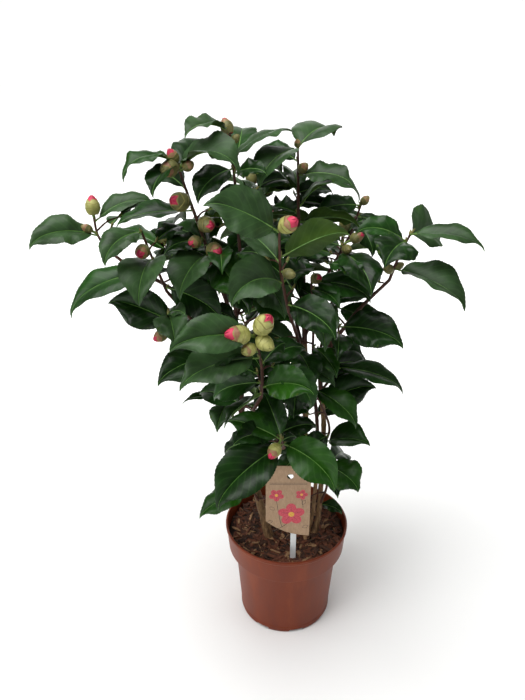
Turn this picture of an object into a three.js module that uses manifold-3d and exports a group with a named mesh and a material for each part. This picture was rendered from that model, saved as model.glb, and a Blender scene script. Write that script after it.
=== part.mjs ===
// A young camellia shrub in a round plastic nursery pot, with bark mulch and a card label.
// Millimetres, +Z up. The origin is the middle of the pot's flat underside.
// Bearings are degrees seen from above: 0 = +X (right), 90 = +Y (back), 270 = -Y (front).
import * as THREE from 'three';
import { mergeVertices } from 'three/addons/utils/BufferGeometryUtils.js';
import Module from 'manifold-3d';

const wasm = await Module();
wasm.setup();

// ---------------------------------------------------------------- driving dimensions
const GAP = 0.3; // clearance between neighbouring solids

const POT = {
  height: 133, wall: 1.8, floor: 2.2,
  footRadius: 55.5, ledgeRadius: 57, ledgeHeight: 8,
  neckRadius: 63.5, neckHeight: 97,
  collarRadius: 71.5, collarHeight: 100,
  rimRadius: 75, beadHeight: 5, beadOut: 1.2, lip: 0.6, cove: 2, edge: 0.8, sides: 28,
  notches: 8, notchWidth: 18, notchHeight: 4, notchDepth: 24, firstNotch: 283,
};
const MULCH = {
  top: 121, bump: 3, rings: [20, 42, 62], sides: 24, footRadius: 48,
  clearance: 0.8, // the pot's wall has flat facets
  socketDepth: 3, socketHeight: 20, socketShare: 1.6, socketSides: 12,
  chips: 11, chipLength: [7, 15], chipWidth: [3, 6], chipHeight: 2.4, chipTilt: 16, chipLift: 0.6,
};
const CARD = {
  left: -26, width: 50, y: -56, thickness: 0.8, bottom: 159, top: 257,
  cornerLift: 21, cornerReach: 0.45, holeX: 27, holeBelowTop: 14, holeRadius: 3.6, holeSteps: 8,
};
const STAKE = { x: 6, width: 6.5, thickness: 1.6, bottom: 66, top: 236 };

// Limbs: a main stem swells at its foot; a shoot from a stem's side starts at sideRadius.
const STEM = { sides: 8, steps: 10, flare: 0.35, flareFall: 9 };
const BOUGH = { sides: 6, steps: 5 };
const SHOOT = { sides: 5, steps: 4, sideRadius: 1.6, tipRadius: 1.1 };

const LEAF = {
  petiole: 0.1, // petiole length as a share of the blade
  petioleRadius: 0.9,
  width: 0.56, // blade width as a share of its length
  thickness: 1.4, // at the midrib
  steps: 20, // steps along the midrib's bend
  stations: [0.2, 0.5, 0.8, 1], // where the blade has a cross-section
  fold: [14, 30], // how far each half is folded up from the midrib
  lean: 34, // how far a blade turns its face to the outside
  point: { from: 0.62, to: 0.96, narrow: 0.6 }, // how the blade draws in to its long point
  hook: 45, // how far the point turns down besides
  sway: 14, // the most its midrib bends sideways, all in all
  growth: [0.94, 1.06], // how much one blade is narrower or broader than another
  faceFrom: { set: [-30, 170], filled: [-30, 10] }, // x, y that its face turns away from
};
const BUD = {
  sides: 5, stalkRadius: 1.1, slender: 1.45, profile: [[0, 0.4], [0.28, 0.98], [0.68, 0.84], [1, 0]],
};
const CLEAR = 0.5; // a leaf keeps this clear of what is there already

// Main stems, from the flat cut at the mulch to their tips: points and radii at foot and tip.
const SOIL = MULCH.top - MULCH.socketDepth + GAP;
const STEMS = {
  left_stem: {
    path: [[-21, -16, SOIL], [-37, -15, 193], [-51, -15, 267], [-54, -12, 330], [-62, -6, 418]],
    radii: [4.6, 2.9],
  },
  right_stem: {
    path: [[34, -11, SOIL], [39, -10, 160], [40, -10, 273], [34, -6, 345], [46, -5, 386]],
    radii: [3.2, 2.5],
  },
  right_stem_twin: {
    path: [[25, -13, SOIL], [32.5, -11.5, 170], [33, -9, 270], [25, 8, 340]],
    radii: [2.6, 1.9],
  },
  middle_stem: { path: [[14, 24, SOIL], [21, 20, 270], [17, 22, 380], [14, 22, 448]], radii: [3.8, 2.4] },
};

// Main boughs: where each leaves its stem, the points it passes and its radii.
const BOUGHS = {
  top_left_bough: { from: ['left_stem', 396], path: [[-55, -14, 450], [-52, -15, 486]], radii: [2.2, 1.7] },
  left_bough: { from: ['left_stem', 412], path: [[-73, -11, 452], [-80, -17, 474]], radii: [2.4, 2] },
  far_left_bough: {
    from: ['left_stem', 372], path: [[-112, -16, 440], [-160, -14, 470], [-176, -15, 483]],
    radii: [2.1, 1.5],
  },
  left_front_bough: { from: ['left_stem', 352], path: [[-92, -34, 410], [-124, -36, 454]], radii: [2, 1.6] },
  left_low_bough: { from: ['left_stem', 322], path: [[-82, -38, 372], [-108, -46, 412]], radii: [1.9, 1.5] },
  front_bough: { from: ['left_stem', 270], path: [[-42, -62, 325], [-31, -98, 370]], radii: [2.2, 1.7] },
  centre_bough: { from: ['middle_stem', 330], path: [[8, -22, 392], [-4, -56, 440]], radii: [2, 1.6] },
  low_front_bough: { from: ['left_stem', 225], path: [[-26, -52, 272], [-8, -92, 306]], radii: [1.8, 1.5] },
  right_bough: { from: ['right_stem', 378], path: [[71, -10, 423], [98, -17, 458]], radii: [2.2, 1.7] },
  inner_right_bough: { from: ['middle_stem', 376], path: [[38, 10, 428], [49, 2, 460]], radii: [1.8, 1.4] },
  top_right_bough: { from: ['middle_stem', 404], path: [[44, 36, 450], [64, 40, 488]], radii: [1.8, 1.4] },
  back_left_bough: { from: ['left_stem', 340], path: [[-92, 34, 402], [-122, 56, 442]], radii: [1.9, 1.4] },
  back_high_bough: { from: ['middle_stem', 416], path: [[-12, 52, 462], [-30, 70, 496]], radii: [1.8, 1.4] },
  back_middle_bough: { from: ['middle_stem', 352], path: [[0, 72, 408], [-8, 104, 432]], radii: [1.9, 1.4] },
  back_right_bough: {
    from: ['right_stem_twin', 326], path: [[44, 48, 384], [58, 78, 424]],
    radii: [1.7, 1.4],
  },
  back_low_bough: { from: ['middle_stem', 250], path: [[-22, 66, 300], [-38, 88, 326]], radii: [1.8, 1.4] },
};

// Masses of foliage. Each grows on from the tip of a bough or stem, or from the side of a
// stem at a height, to its own tip. A leaf is [place along the stem 0-1, bearing, rise,
// blade length, droop, lean, broadness]; a bud is [place, bearing, rise, diameter, stalk];
// fill is how many more leaves the growth rule adds on the shoot's far side.
const MASSES = {
  top_left_shoot: {
    from: 'top_left_bough', path: [[-55, -14, 545], [-60, -15, 606]],
    leaves: [[0.98, 218, 26, 50, 62, 10, 1.05], [0.79, 26, 28, 64, 26, -10, 0.95],
      [0.7, 222, -6, 50, 54, 30, 1.2], [0.66, 326, 26, 36, 44, 40, 1.1],
      [0.72, 120, 30, 52, 40], [0.3, 120, 8, 58, 45]],
    buds: [[0.95, 130, 56, 11, 1], [0.88, 350, 50, 7, 2]],
  },
  left_crown_shoot: {
    from: 'left_bough', path: [[-87, -21, 503], [-97, -28, 540], [-108, -30, 578]],
    leaves: [[1, 214, 28, 60, 96, 10, 0.8], [0.97, 236, 2, 44, 70, -10], [0.95, 70, 30, 54, 30, 0, 1.2],
      [0.95, 334, 42, 70, 106, 20], [0.78, 130, 22, 54, 45], [0.6, 194, 4, 70, 24, 10, 1],
      [0.3, 140, 16, 50, 40], [0.3, 214, 16, 44, 50, 30], [0.5, 74, -10, 54, 50],
      [0.14, 248, 6, 66, 70, 50, 1.25], [0.24, 96, 16, 60, 50], [0.06, 300, 4, 64, 60, 60, 1.1]],
    buds: [[1, 215, 60, 10, 1], [0.98, 240, -4, 14, 4], [0.93, 320, 30, 9, 8], [0.66, 238, 20, 16, 8],
      [0.5, 304, 6, 14, 9], [0.26, 300, 0, 14, 11], [0.34, 240, 0, 11, 8]],
  },
  far_left_shoot: {
    from: 'far_left_bough', path: [[-190, -15, 502], [-193, -15, 522]],
    leaves: [[0.55, 208, 22, 66, 54, 90, 1.1], [0.9, 20, 36, 62, 62, 30, 1]],
    buds: [[1, 100, 80, 13, 3], [0.6, 200, 34, 8, 6]],
  },
  left_front_shoot: {
    from: 'left_front_bough', path: [[-134, -42, 488], [-140, -60, 523]],
    leaves: [[0.98, 232, 8, 52, 66, 60, 1.1], [0.5, 264, 14, 66, 84, 10, 1.35],
      [0.3, 201, 4, 94, 58, 30, 0.75],
      [0.06, 346, -10, 62, 36, 60, 1.1]],
    buds: [[0.75, 262, 0, 12, 9]],
  },
  left_low_shoot: {
    from: 'left_low_bough', path: [[-122, -54, 438]],
    leaves: [[0.5, 172, 26, 66, 20, 70, 1.2], [0.96, 284, 14, 44, 80, 20, 1.55], [0.5, 110, 4, 52, 45],
      [0.98, 312, 34, 32, 40]],
    buds: [[0.4, 222, -12, 11, 14]],
  },
  front_shoot: {
    from: 'front_bough', path: [[-30, -106, 402], [-36, -114, 445]],
    leaves: [[0.96, 200, 16, 76, 32, 50], [0.7, 206, 10, 78, 38, 30, 1], [0.78, 184, 0, 66, 40, 10],
      [0.2, 332, 30, 54, 46, 60, 1.15], [0.6, 50, 30, 36, 36], [0.3, 166, -10, 54, 40, 40, 1.2],
      [0.06, 236, 6, 54, 30, -60], [0.12, 100, -20, 58, 30]],
    buds: [[1, 320, 52, 16, 6], [0.98, 206, 14, 16, 8], [0.96, 318, -12, 13, 3], [0.86, 228, 0, 11, 5]],
  },
  centre_shoot: {
    from: 'centre_bough', path: [[-13, -76, 490], [-15, -85, 532]],
    leaves: [[0.97, 198, 36, 68, 22, 60, 1.15], [0.6, 136, 34, 56, 36, 20], [0.66, 14, 28, 64, 26, -80],
      [0.36, 222, 30, 66, 84, 50, 1.2], [0.36, 60, 10, 52, 40],
      [0.1, 318, 4, 60, 44, 60, 1.1]],
    buds: [[1, 318, 34, 14, 4], [0.5, 320, 0, 9, 4]],
  },
  top_shoot: {
    from: 'middle_stem', path: [[8, 22, 500], [5, 22, 581]],
    leaves: [[1, 50, 32, 62, 66, 0, 1.5], [0.99, 233, 4, 66, 60, 0, 1.1], [0.84, 338, 14, 56, 44, 30],
      [0.64, 345, 58, 76, 120, 0, 1.1], [0.6, 130, 8, 48, 36], [0.92, 142, 22, 46, 26],
      [0.54, 344, 22, 62, 48, -50], [0.76, 96, 22, 54, 45], [0.4, 110, 10, 58, 40], [0.2, 258, 14, 54, 50]],
    buds: [[0.86, 320, 40, 9, 2], [1, 250, 70, 6, 1]],
  },
  top_right_shoot: {
    from: 'top_right_bough', path: [[73, 40, 520]],
    leaves: [[0.96, 200, 10, 50, 34, 50], [0.6, 350, -10, 40, 40], [0.4, 110, 4, 52, 40],
      [0.85, 150, 14, 48, 40]],
    buds: [[1, 330, 50, 8, 1]],
  },
  inner_right_shoot: {
    from: 'inner_right_bough', path: [[52, -4, 492]],
    leaves: [[0.66, 294, 6, 66, 60, 60, 1.15], [0.9, 160, 10, 46, 34]],
    buds: [[1, 350, 30, 10, 8], [0.84, 290, 10, 9, 3]],
  },
  middle_shoot: {
    from: ['right_stem_twin', 334], path: [[24, -8, 402], [20, -12, 456]],
    leaves: [[0.97, 338, 12, 62, 48, 30, 1.05], [0.9, 306, 14, 44, 40, 60], [0.74, 276, 8, 68, 62, 40, 1.1],
      [0.3, 300, 0, 46, 50, 60]],
    buds: [[1, 300, 30, 10, 4]],
  },
  far_right_shoot: {
    from: 'right_bough', path: [[104, -19, 480], [114, -20, 507]],
    leaves: [[0.86, 176, 34, 50, 56, 40, 1.1], [0.97, 50, 2, 56, 22, 50, 1.5], [1, 338, 9, 68, 30, 20, 1.05],
      [0.86, 238, 12, 48, 60, 20, 1.8], [0.3, 330, -4, 77, 33, 20, 1.15], [0.5, 90, 0, 52, 40]],
    buds: [[0.2, 220, 40, 9, 3], [0.3, 20, 20, 7, 2]],
  },
  right_shoot: {
    from: ['right_stem', 322], path: [[46, -16, 352], [50, -18, 410]],
    leaves: [[0.97, 332, 12, 68, 36, 80, 1.1], [0.56, 346, 3, 76, 40, 10, 0.8], [0.3, 40, 10, 44, 34],
      [0.9, 266, 20, 50, 56, 60, 1.1], [0.6, 30, -6, 50, 40]],
    buds: [],
  },
  low_right_shoot: {
    from: ['right_stem', 250], path: [[45, -18, 284], [24, -30, 342]],
    leaves: [[0.8, 8, 28, 60, 30, 60, 1.15], [0.97, 322, -6, 60, 50, 20, 1.1],
      [0.14, 338, 26, 50, 34, 20, 1.5],
      [0.3, 230, 10, 48, 44]],
    buds: [],
  },
  low_front_shoot: {
    from: 'low_front_bough', path: [[-11, -102, 324]],
    leaves: [[0.5, 326, -3, 68, 50, 60, 1.2], [0.9, 164, 24, 56, 30, 30, 1.05],
      [0.4, 218, -8, 88, 44, 40, 1.05],
      [0.9, 112, 40, 54, 24], [0.8, 44, 0, 20, 30]],
    buds: [[0.95, 240, -20, 12, 8]],
  },
  foot_shoot: {
    from: ['right_stem', 164], path: [[46, -20, 204], [42, -20, 250]],
    leaves: [[0.8, 322, 2, 46, 50, 40, 1.6], [0.7, 288, -4, 34, 30, 60, 1.1], [0.02, 344, 8, 28, 50]],
    buds: [],
  },
  foot_left_shoot: {
    from: ['left_stem', 172], path: [[-44, -34, 212]],
    leaves: [[0.9, 204, -4, 64, 26, 10, 1], [0.96, 150, 20, 40, 40]],
    buds: [],
  },
  under_left_shoot: {
    from: ['left_stem', 250], path: [[-66, -30, 322], [-68, -50, 392]],
    leaves: [[1, 208, 4, 72, 40, 40, 1.1], [0.56, 192, 12, 46, 26, 0, 0.7],
      [0.5, 256, 12, 46, 48, 30, 1.1]],
    buds: [],
  },
  inner_shoot: {
    from: ['middle_stem', 290], path: [[10, -14, 350], [4, -24, 388]],
    leaves: [[0.5, 262, 2, 60, 52, 40, 1.2], [0.9, 290, 8, 56, 54, 40], [0.8, 210, 10, 62, 44, 40],
      [0.95, 140, 20, 56, 40], [0.6, 330, 4, 44, 46, 40], [0.3, 180, 0, 56, 44]],
    buds: [],
  },
  heart_left_shoot: {
    from: ['left_stem', 404], path: [[-40, 20, 450], [-36, 28, 506]],
    leaves: [[0.64, 190, 0, 64, 40, 60, 1.1],
      [0.5, 304, -2, 66, 50, 60, 1.1], [0.3, 330, 0, 60, 46, 60, 1.1], [0.9, 120, 24, 54, 44],
      [0.95, 280, 10, 56, 56, 60]],
    buds: [],
  },
  heart_right_shoot: {
    from: ['right_stem', 352], path: [[50, 26, 392], [52, 34, 430]],
    leaves: [[0.7, 322, 0, 62, 44, 60, 1.1],
      [0.8, 40, 14, 58, 44], [0.9, 110, 14, 56, 44]],
    buds: [],
  },
  back_left_shoot: { from: 'back_left_bough', path: [[-138, 68, 466]], fill: 7, buds: [[1, 120, 50, 12, 3]] },
  back_high_shoot: { from: 'back_high_bough', path: [[-40, 84, 528]], fill: 9, buds: [[1, 100, 60, 13, 3]] },
  back_middle_shoot: {
    from: 'back_middle_bough', path: [[-20, 132, 466]],
    fill: 9, buds: [[1, 90, 50, 14, 3]],
  },
  back_right_shoot: { from: 'back_right_bough', path: [[62, 98, 470]], fill: 9, buds: [[1, 60, 60, 12, 3]] },
  back_low_shoot: { from: 'back_low_bough', path: [[-58, 112, 366]], fill: 8, buds: [[1, 110, 40, 12, 3]] },
};

// Growth rule for the leaves that are not set by hand.
const FILL = {
  turn: 137.5, lowest: 0.08, rise: [2, 34], riseSpread: 14, length: [56, 76], droop: [36, 66],
};

// ---------------------------------------------------------------- small tools
const rad = THREE.MathUtils.degToRad;
const vec = (point) => new THREE.Vector3(...point);
const lerp = THREE.MathUtils.lerp;

function seededDraw(seed) {
  let state = seed * 7919 + 17;
  return () => {
    state = (state * 48271) % 2147483647;
    return state / 2147483647;
  };
}

function heading(bearing, rise) {
  const flat = Math.cos(rad(rise));
  return new THREE.Vector3(flat * Math.cos(rad(bearing)), flat * Math.sin(rad(bearing)), Math.sin(rad(rise)));
}

function toSolid(geometry) {
  geometry.deleteAttribute('normal');
  geometry.deleteAttribute('uv');
  const merged = mergeVertices(geometry);
  const mesh = new wasm.Mesh({
    numProp: 3,
    vertProperties: new Float32Array(merged.attributes.position.array),
    triVerts: new Uint32Array(merged.index.array),
  });
  return new wasm.Manifold(mesh);
}

// A closed skin over rings of points; the last ring may be a single point.
function loft(rings) {
  const points = rings.flat();
  const triangles = [];
  let start = 0;
  for (let row = 0; row < rings.length - 1; row++) {
    const count = rings[row].length;
    const next = start + count;
    for (let i = 0; i < count; i++) {
      const j = (i + 1) % count;
      if (rings[row + 1].length === 1) {
        triangles.push(start + i, start + j, next);
      } else {
        triangles.push(start + i, start + j, next + j, start + i, next + j, next + i);
      }
    }
    start = next;
  }
  for (let i = 1; i < rings[0].length - 1; i++) triangles.push(0, i + 1, i);
  const last = rings.at(-1).length;
  for (let i = 1; i < last - 1; i++) triangles.push(start, start + i, start + i + 1);
  const geometry = new THREE.BufferGeometry().setFromPoints(points);
  geometry.setIndex(triangles);
  if (signedVolume(points, triangles) < 0) geometry.setIndex(triangles.toReversed());
  return toSolid(geometry);
}

function signedVolume(points, triangles) {
  let volume = 0;
  for (let i = 0; i < triangles.length; i += 3) {
    const [a, b, c] = [points[triangles[i]], points[triangles[i + 1]], points[triangles[i + 2]]];
    volume += a.dot(new THREE.Vector3().crossVectors(b, c));
  }
  return volume;
}

// A tapering round limb along a smooth path. Its first face is square to startDirection.
function limbSolid(limb, sides, extra = 0) {
  const rings = [];
  let side = new THREE.Vector3(1, 0, 0);
  const steps = limb.steps;
  for (let i = 0; i <= steps; i++) {
    const t = i / steps;
    const along = i === 0 && limb.startDirection ? limb.startDirection : limb.curve.getTangent(t);
    side = side.clone().addScaledVector(along, -side.dot(along)).normalize();
    const across = new THREE.Vector3().crossVectors(along, side);
    const swell = limb.flare ? 1 + STEM.flare * Math.exp(-STEM.flareFall * t) : 1;
    const radius = lerp(...limb.radii, t) * swell + extra;
    const centre = limb.curve.getPoint(t);
    rings.push(Array.from({ length: sides }, (_, k) => {
      const angle = (2 * Math.PI * k) / sides;
      return centre.clone()
        .addScaledVector(side, radius * Math.cos(angle))
        .addScaledVector(across, radius * Math.sin(angle));
    }));
  }
  return loft(rings);
}

function smoothCurve(points) {
  return new THREE.CatmullRomCurve3(points, false, 'catmullrom', 0.5);
}

// The point of a limb at a height.
function atHeight(curve, height) {
  let [low, high] = [0, 1];
  for (let i = 0; i < 30; i++) {
    const middle = (low + high) / 2;
    if (curve.getPoint(middle).z < height) low = middle;
    else high = middle;
  }
  return curve.getPoint(low);
}

const model = new THREE.Group();

function addPart(name, solid, look) {
  const mesh = solid.getMesh();
  const geometry = new THREE.BufferGeometry();
  geometry.setAttribute('position', new THREE.BufferAttribute(mesh.vertProperties, 3));
  geometry.setIndex(new THREE.BufferAttribute(mesh.triVerts, 1));
  geometry.computeVertexNormals();
  const part = new THREE.Mesh(geometry, new THREE.MeshStandardMaterial(look));
  part.name = name;
  model.add(part);
}

const LOOKS = {
  pot: { color: '#8a4c3a', roughness: 0.55, metalness: 0 },
  mulch: { color: '#3a2319', roughness: 0.95, metalness: 0 },
  card: { color: '#b58c66', roughness: 0.8, metalness: 0 },
  stake: { color: '#d9dcdd', roughness: 0.35, metalness: 0 },
  bark: { color: '#5b4433', roughness: 0.85, metalness: 0 },
  foliage: { color: '#2a4a2c', roughness: 0.45, metalness: 0 },
};

// ---------------------------------------------------------------- pot
// The corners of its inner wall from foot to rim: radius and height.
const INSIDE = [
  [POT.footRadius - POT.wall, POT.floor + POT.cove],
  [POT.neckRadius - POT.wall, POT.neckHeight - POT.cove],
  [POT.collarRadius - POT.wall, POT.collarHeight + 1],
  [POT.rimRadius - POT.wall - POT.lip, POT.height],
];

function potSolid() {
  const p = POT;
  const outside = [
    [0, 0], [p.footRadius, 0], [p.ledgeRadius, 3],
    [p.ledgeRadius, p.ledgeHeight], [p.footRadius + 1.2, p.ledgeHeight + 1],
    [p.neckRadius, p.neckHeight], [p.collarRadius, p.collarHeight],
    [p.rimRadius - p.beadOut, p.height - p.beadHeight],
    [p.rimRadius, p.height - p.beadHeight + 1], [p.rimRadius, p.height - p.edge],
    [p.rimRadius - p.edge, p.height],
  ];
  const foot = [p.footRadius - p.wall - p.cove, p.floor];
  const inside = [...INSIDE.toReversed(), foot, [0, p.floor]];
  const profile = [...outside, ...inside].map(([r, z]) => new THREE.Vector2(r, z));
  const shell = new THREE.LatheGeometry(profile, p.sides);
  shell.rotateX(Math.PI / 2); // the lathe turns about Y; the pot stands along Z
  let solid = toSolid(shell);
  for (let i = 0; i < p.notches; i++) {
    const notch = new THREE.BoxGeometry(p.notchDepth, p.notchWidth, 2 * p.notchHeight);
    notch.translate(p.footRadius, 0, 0);
    notch.rotateZ(rad(p.firstNotch) + (2 * Math.PI * i) / p.notches);
    solid = solid.subtract(toSolid(notch));
  }
  return solid;
}

// ---------------------------------------------------------------- bark mulch on the potting soil
function potInnerRadius(z) {
  const above = INSIDE.findIndex(([, height], i) => height > z || i === INSIDE.length - 1);
  const [[lowRadius, low], [highRadius, high]] = [INSIDE[above - 1], INSIDE[above]];
  return lerp(lowRadius, highRadius, (z - low) / (high - low));
}

function mulchSolid(limbs, stake) {
  const draw = seededDraw(3);
  const ring = (radius, z, bump = 0) => Array.from({ length: MULCH.sides }, (_, k) => {
    const angle = (2 * Math.PI * k) / MULCH.sides;
    return new THREE.Vector3(radius * Math.cos(angle), radius * Math.sin(angle), z + bump * (draw() - 0.5));
  });
  const rings = [ring(MULCH.footRadius, POT.floor + GAP)];
  const heights = [POT.floor + 4, POT.neckHeight - POT.cove, POT.collarHeight + 1.4, MULCH.top - MULCH.bump];
  for (const z of heights) rings.push(ring(potInnerRadius(z) - MULCH.clearance, z));
  for (const radius of MULCH.rings.toReversed()) rings.push(ring(radius, MULCH.top, MULCH.bump));
  rings.push([new THREE.Vector3(0, 0, MULCH.top)]);
  let solid = loft(rings);
  for (let i = 0; i < MULCH.chips; i++) {
    const [length, width] = [lerp(...MULCH.chipLength, draw()), lerp(...MULCH.chipWidth, draw())];
    const chip = new THREE.BoxGeometry(length, width, MULCH.chipHeight);
    chip.rotateX(rad(lerp(-MULCH.chipTilt, MULCH.chipTilt, draw())));
    chip.rotateZ(2 * Math.PI * draw());
    const [radius, angle] = [MULCH.rings.at(-1) * Math.sqrt(draw()), 2 * Math.PI * draw()];
    chip.translate(radius * Math.cos(angle), radius * Math.sin(angle), MULCH.top + MULCH.chipLift);
    solid = solid.add(toSolid(chip));
  }
  for (const limb of limbs) {
    const foot = limb.curve.getPoint(0);
    const radius = limb.radii[0] * MULCH.socketShare;
    const socket = new THREE.CylinderGeometry(radius, radius, MULCH.socketHeight, MULCH.socketSides);
    socket.rotateX(Math.PI / 2);
    socket.translate(foot.x, foot.y, SOIL - GAP + MULCH.socketHeight / 2);
    solid = solid.subtract(toSolid(socket));
  }
  return solid.subtract(stake);
}

// ---------------------------------------------------------------- card label on its stake
function cardSolid() {
  const c = CARD;
  const right = c.left + c.width;
  const outline = new THREE.Shape();
  outline.moveTo(c.left, c.top);
  outline.lineTo(c.left, c.bottom + c.cornerLift);
  outline.quadraticCurveTo(c.left + c.cornerReach * c.width, c.bottom, right, c.bottom);
  outline.lineTo(right, c.top);
  outline.closePath();
  const hole = new THREE.Path();
  hole.absarc(c.left + c.holeX, c.top - c.holeBelowTop, c.holeRadius, 0, 2 * Math.PI);
  outline.holes.push(hole);
  const sheet = { depth: c.thickness, bevelEnabled: false, curveSegments: c.holeSteps };
  const card = new THREE.ExtrudeGeometry(outline, sheet);
  card.rotateX(Math.PI / 2);
  card.translate(0, c.y, 0);
  return toSolid(card);
}

// grown by extra on every side, it also cuts its own slot in the mulch
function stakeSolid(extra = 0) {
  const height = STAKE.top - STAKE.bottom;
  const depth = STAKE.thickness;
  const stake = new THREE.BoxGeometry(STAKE.width + 2 * extra, depth + 2 * extra, height + 2 * extra);
  stake.translate(STAKE.x, CARD.y + GAP + depth / 2, STAKE.bottom + height / 2);
  return toSolid(stake);
}

// ---------------------------------------------------------------- stems and boughs
const limbs = {};

function addLimb(name, solid, limb) {
  limbs[name] = { ...limb, solid, fat: limbSolid(limb, STEM.sides, GAP) };
  addPart(name, solid, LOOKS.bark);
}

for (const [name, stem] of Object.entries(STEMS)) {
  const up = new THREE.Vector3(0, 0, 1);
  const curve = smoothCurve(stem.path.map(vec));
  const limb = { curve, radii: stem.radii, steps: STEM.steps, flare: true, startDirection: up };
  addLimb(name, limbSolid(limb, STEM.sides), limb);
}

for (const [name, bough] of Object.entries(BOUGHS)) {
  const [parentName, height] = bough.from;
  const parent = limbs[parentName];
  const points = [atHeight(parent.curve, height), ...bough.path.map(vec)];
  const limb = { curve: smoothCurve(points), radii: bough.radii, steps: BOUGH.steps };
  addLimb(name, biggest(limbSolid(limb, BOUGH.sides).subtract(parent.fat)), limb);
}

function biggest(solid) {
  return solid.decompose().sort((a, b) => b.volume() - a.volume())[0];
}

// ---------------------------------------------------------------- leaves and buds
// Half the blade's width at t, 0 at its foot to 1 at its long point, as a share of the widest.
function bladeShape(t) {
  const { from, to, narrow } = LEAF.point;
  return Math.sin(Math.PI * t ** 0.85) ** 0.75 * (1 - narrow * THREE.MathUtils.smoothstep(t, from, to));
}

// The leaf's midrib goes out straight along its petiole, then bends over under its own
// weight; the blade is folded up along the midrib and turns its face to the crown's outside.
function leafRings(base, leaf, faceFrom, extra = 0) {
  const [bearing, rise, length, droop, lean, sway, fold, broad] = leaf;
  const outside = THREE.MathUtils.radToDeg(Math.atan2(base.y - faceFrom[1], base.x - faceFrom[0]));
  const bank = rad(lean * Math.sin(rad(bearing - outside)));
  const frame = (t) => {
    const along = heading(bearing + sway * t, rise - droop * t ** 1.3 - LEAF.hook * t ** 8);
    const turn = rad(bearing + sway * t);
    const flatLeft = new THREE.Vector3(-Math.sin(turn), Math.cos(turn), 0);
    const flatUp = new THREE.Vector3().crossVectors(along, flatLeft);
    return {
      along,
      left: flatLeft.clone().multiplyScalar(Math.cos(bank)).addScaledVector(flatUp, Math.sin(bank)),
      up: flatUp.clone().multiplyScalar(Math.cos(bank)).addScaledVector(flatLeft, -Math.sin(bank)),
    };
  };
  const ring = (point, t, halfWidth, halfThickness, foldAngle) => {
    const { left, up } = frame(t);
    const [out, lift] = [halfWidth * Math.cos(foldAngle), halfWidth * Math.sin(foldAngle)];
    return [
      point.clone().addScaledVector(left, out).addScaledVector(up, lift),
      point.clone().addScaledVector(up, halfThickness),
      point.clone().addScaledVector(left, -out).addScaledVector(up, lift),
      point.clone().addScaledVector(up, -halfThickness),
    ];
  };
  const stalk = LEAF.petiole * length;
  const thick = LEAF.thickness / 2 + extra;
  const rings = [ring(base, 0, LEAF.petioleRadius + extra, thick, 0)];
  const point = base.clone().addScaledVector(heading(bearing, rise), stalk);
  const step = length / LEAF.steps;
  for (let i = 0, station = 0; i <= LEAF.steps; i++) {
    const t = i / LEAF.steps;
    if (Math.abs(t - LEAF.stations[station]) < 1e-9) {
      const halfWidth = (broad * length * bladeShape(t)) / 2 + extra;
      if (t === 1) rings.push([point.clone()]);
      else rings.push(ring(point, t, halfWidth, thick, rad(fold)));
      station++;
    }
    point.addScaledVector(frame((i + 0.5) / LEAF.steps).along, step);
  }
  return rings;
}

// An egg-shaped flower bud at the end of a short stalk.
function budRings(base, [bearing, rise, diameter, stalk], extra = 0) {
  const along = heading(bearing, rise);
  const side = heading(bearing + 90, 0);
  const across = new THREE.Vector3().crossVectors(along, side);
  const ring = (distance, radius) => Array.from({ length: BUD.sides }, (_, k) => {
    const angle = (2 * Math.PI * k) / BUD.sides;
    return base.clone().addScaledVector(along, distance)
      .addScaledVector(side, radius * Math.cos(angle))
      .addScaledVector(across, radius * Math.sin(angle));
  });
  const length = diameter * BUD.slender;
  const rings = [ring(0, BUD.stalkRadius + extra)];
  for (const [t, share] of BUD.profile) {
    if (t < 1) rings.push(ring(stalk + t * length, (share * diameter) / 2 + extra));
    else rings.push([base.clone().addScaledVector(along, stalk + length + extra)]);
  }
  return rings;
}

// ---------------------------------------------------------------- masses of foliage
const taken = Object.entries(limbs)
  .map(([owner, { fat }]) => ({ owner, solid: fat, box: fat.boundingBox() }));

function boxesMeet(a, b) {
  return [0, 1, 2].every((axis) => a.min[axis] <= b.max[axis] && b.min[axis] <= a.max[axis]);
}

function touches(solid, owners) {
  const box = solid.boundingBox();
  return taken.some((other) => !owners.includes(other.owner) && boxesMeet(box, other.box)
    && !solid.intersect(other.solid).isEmpty());
}

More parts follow.
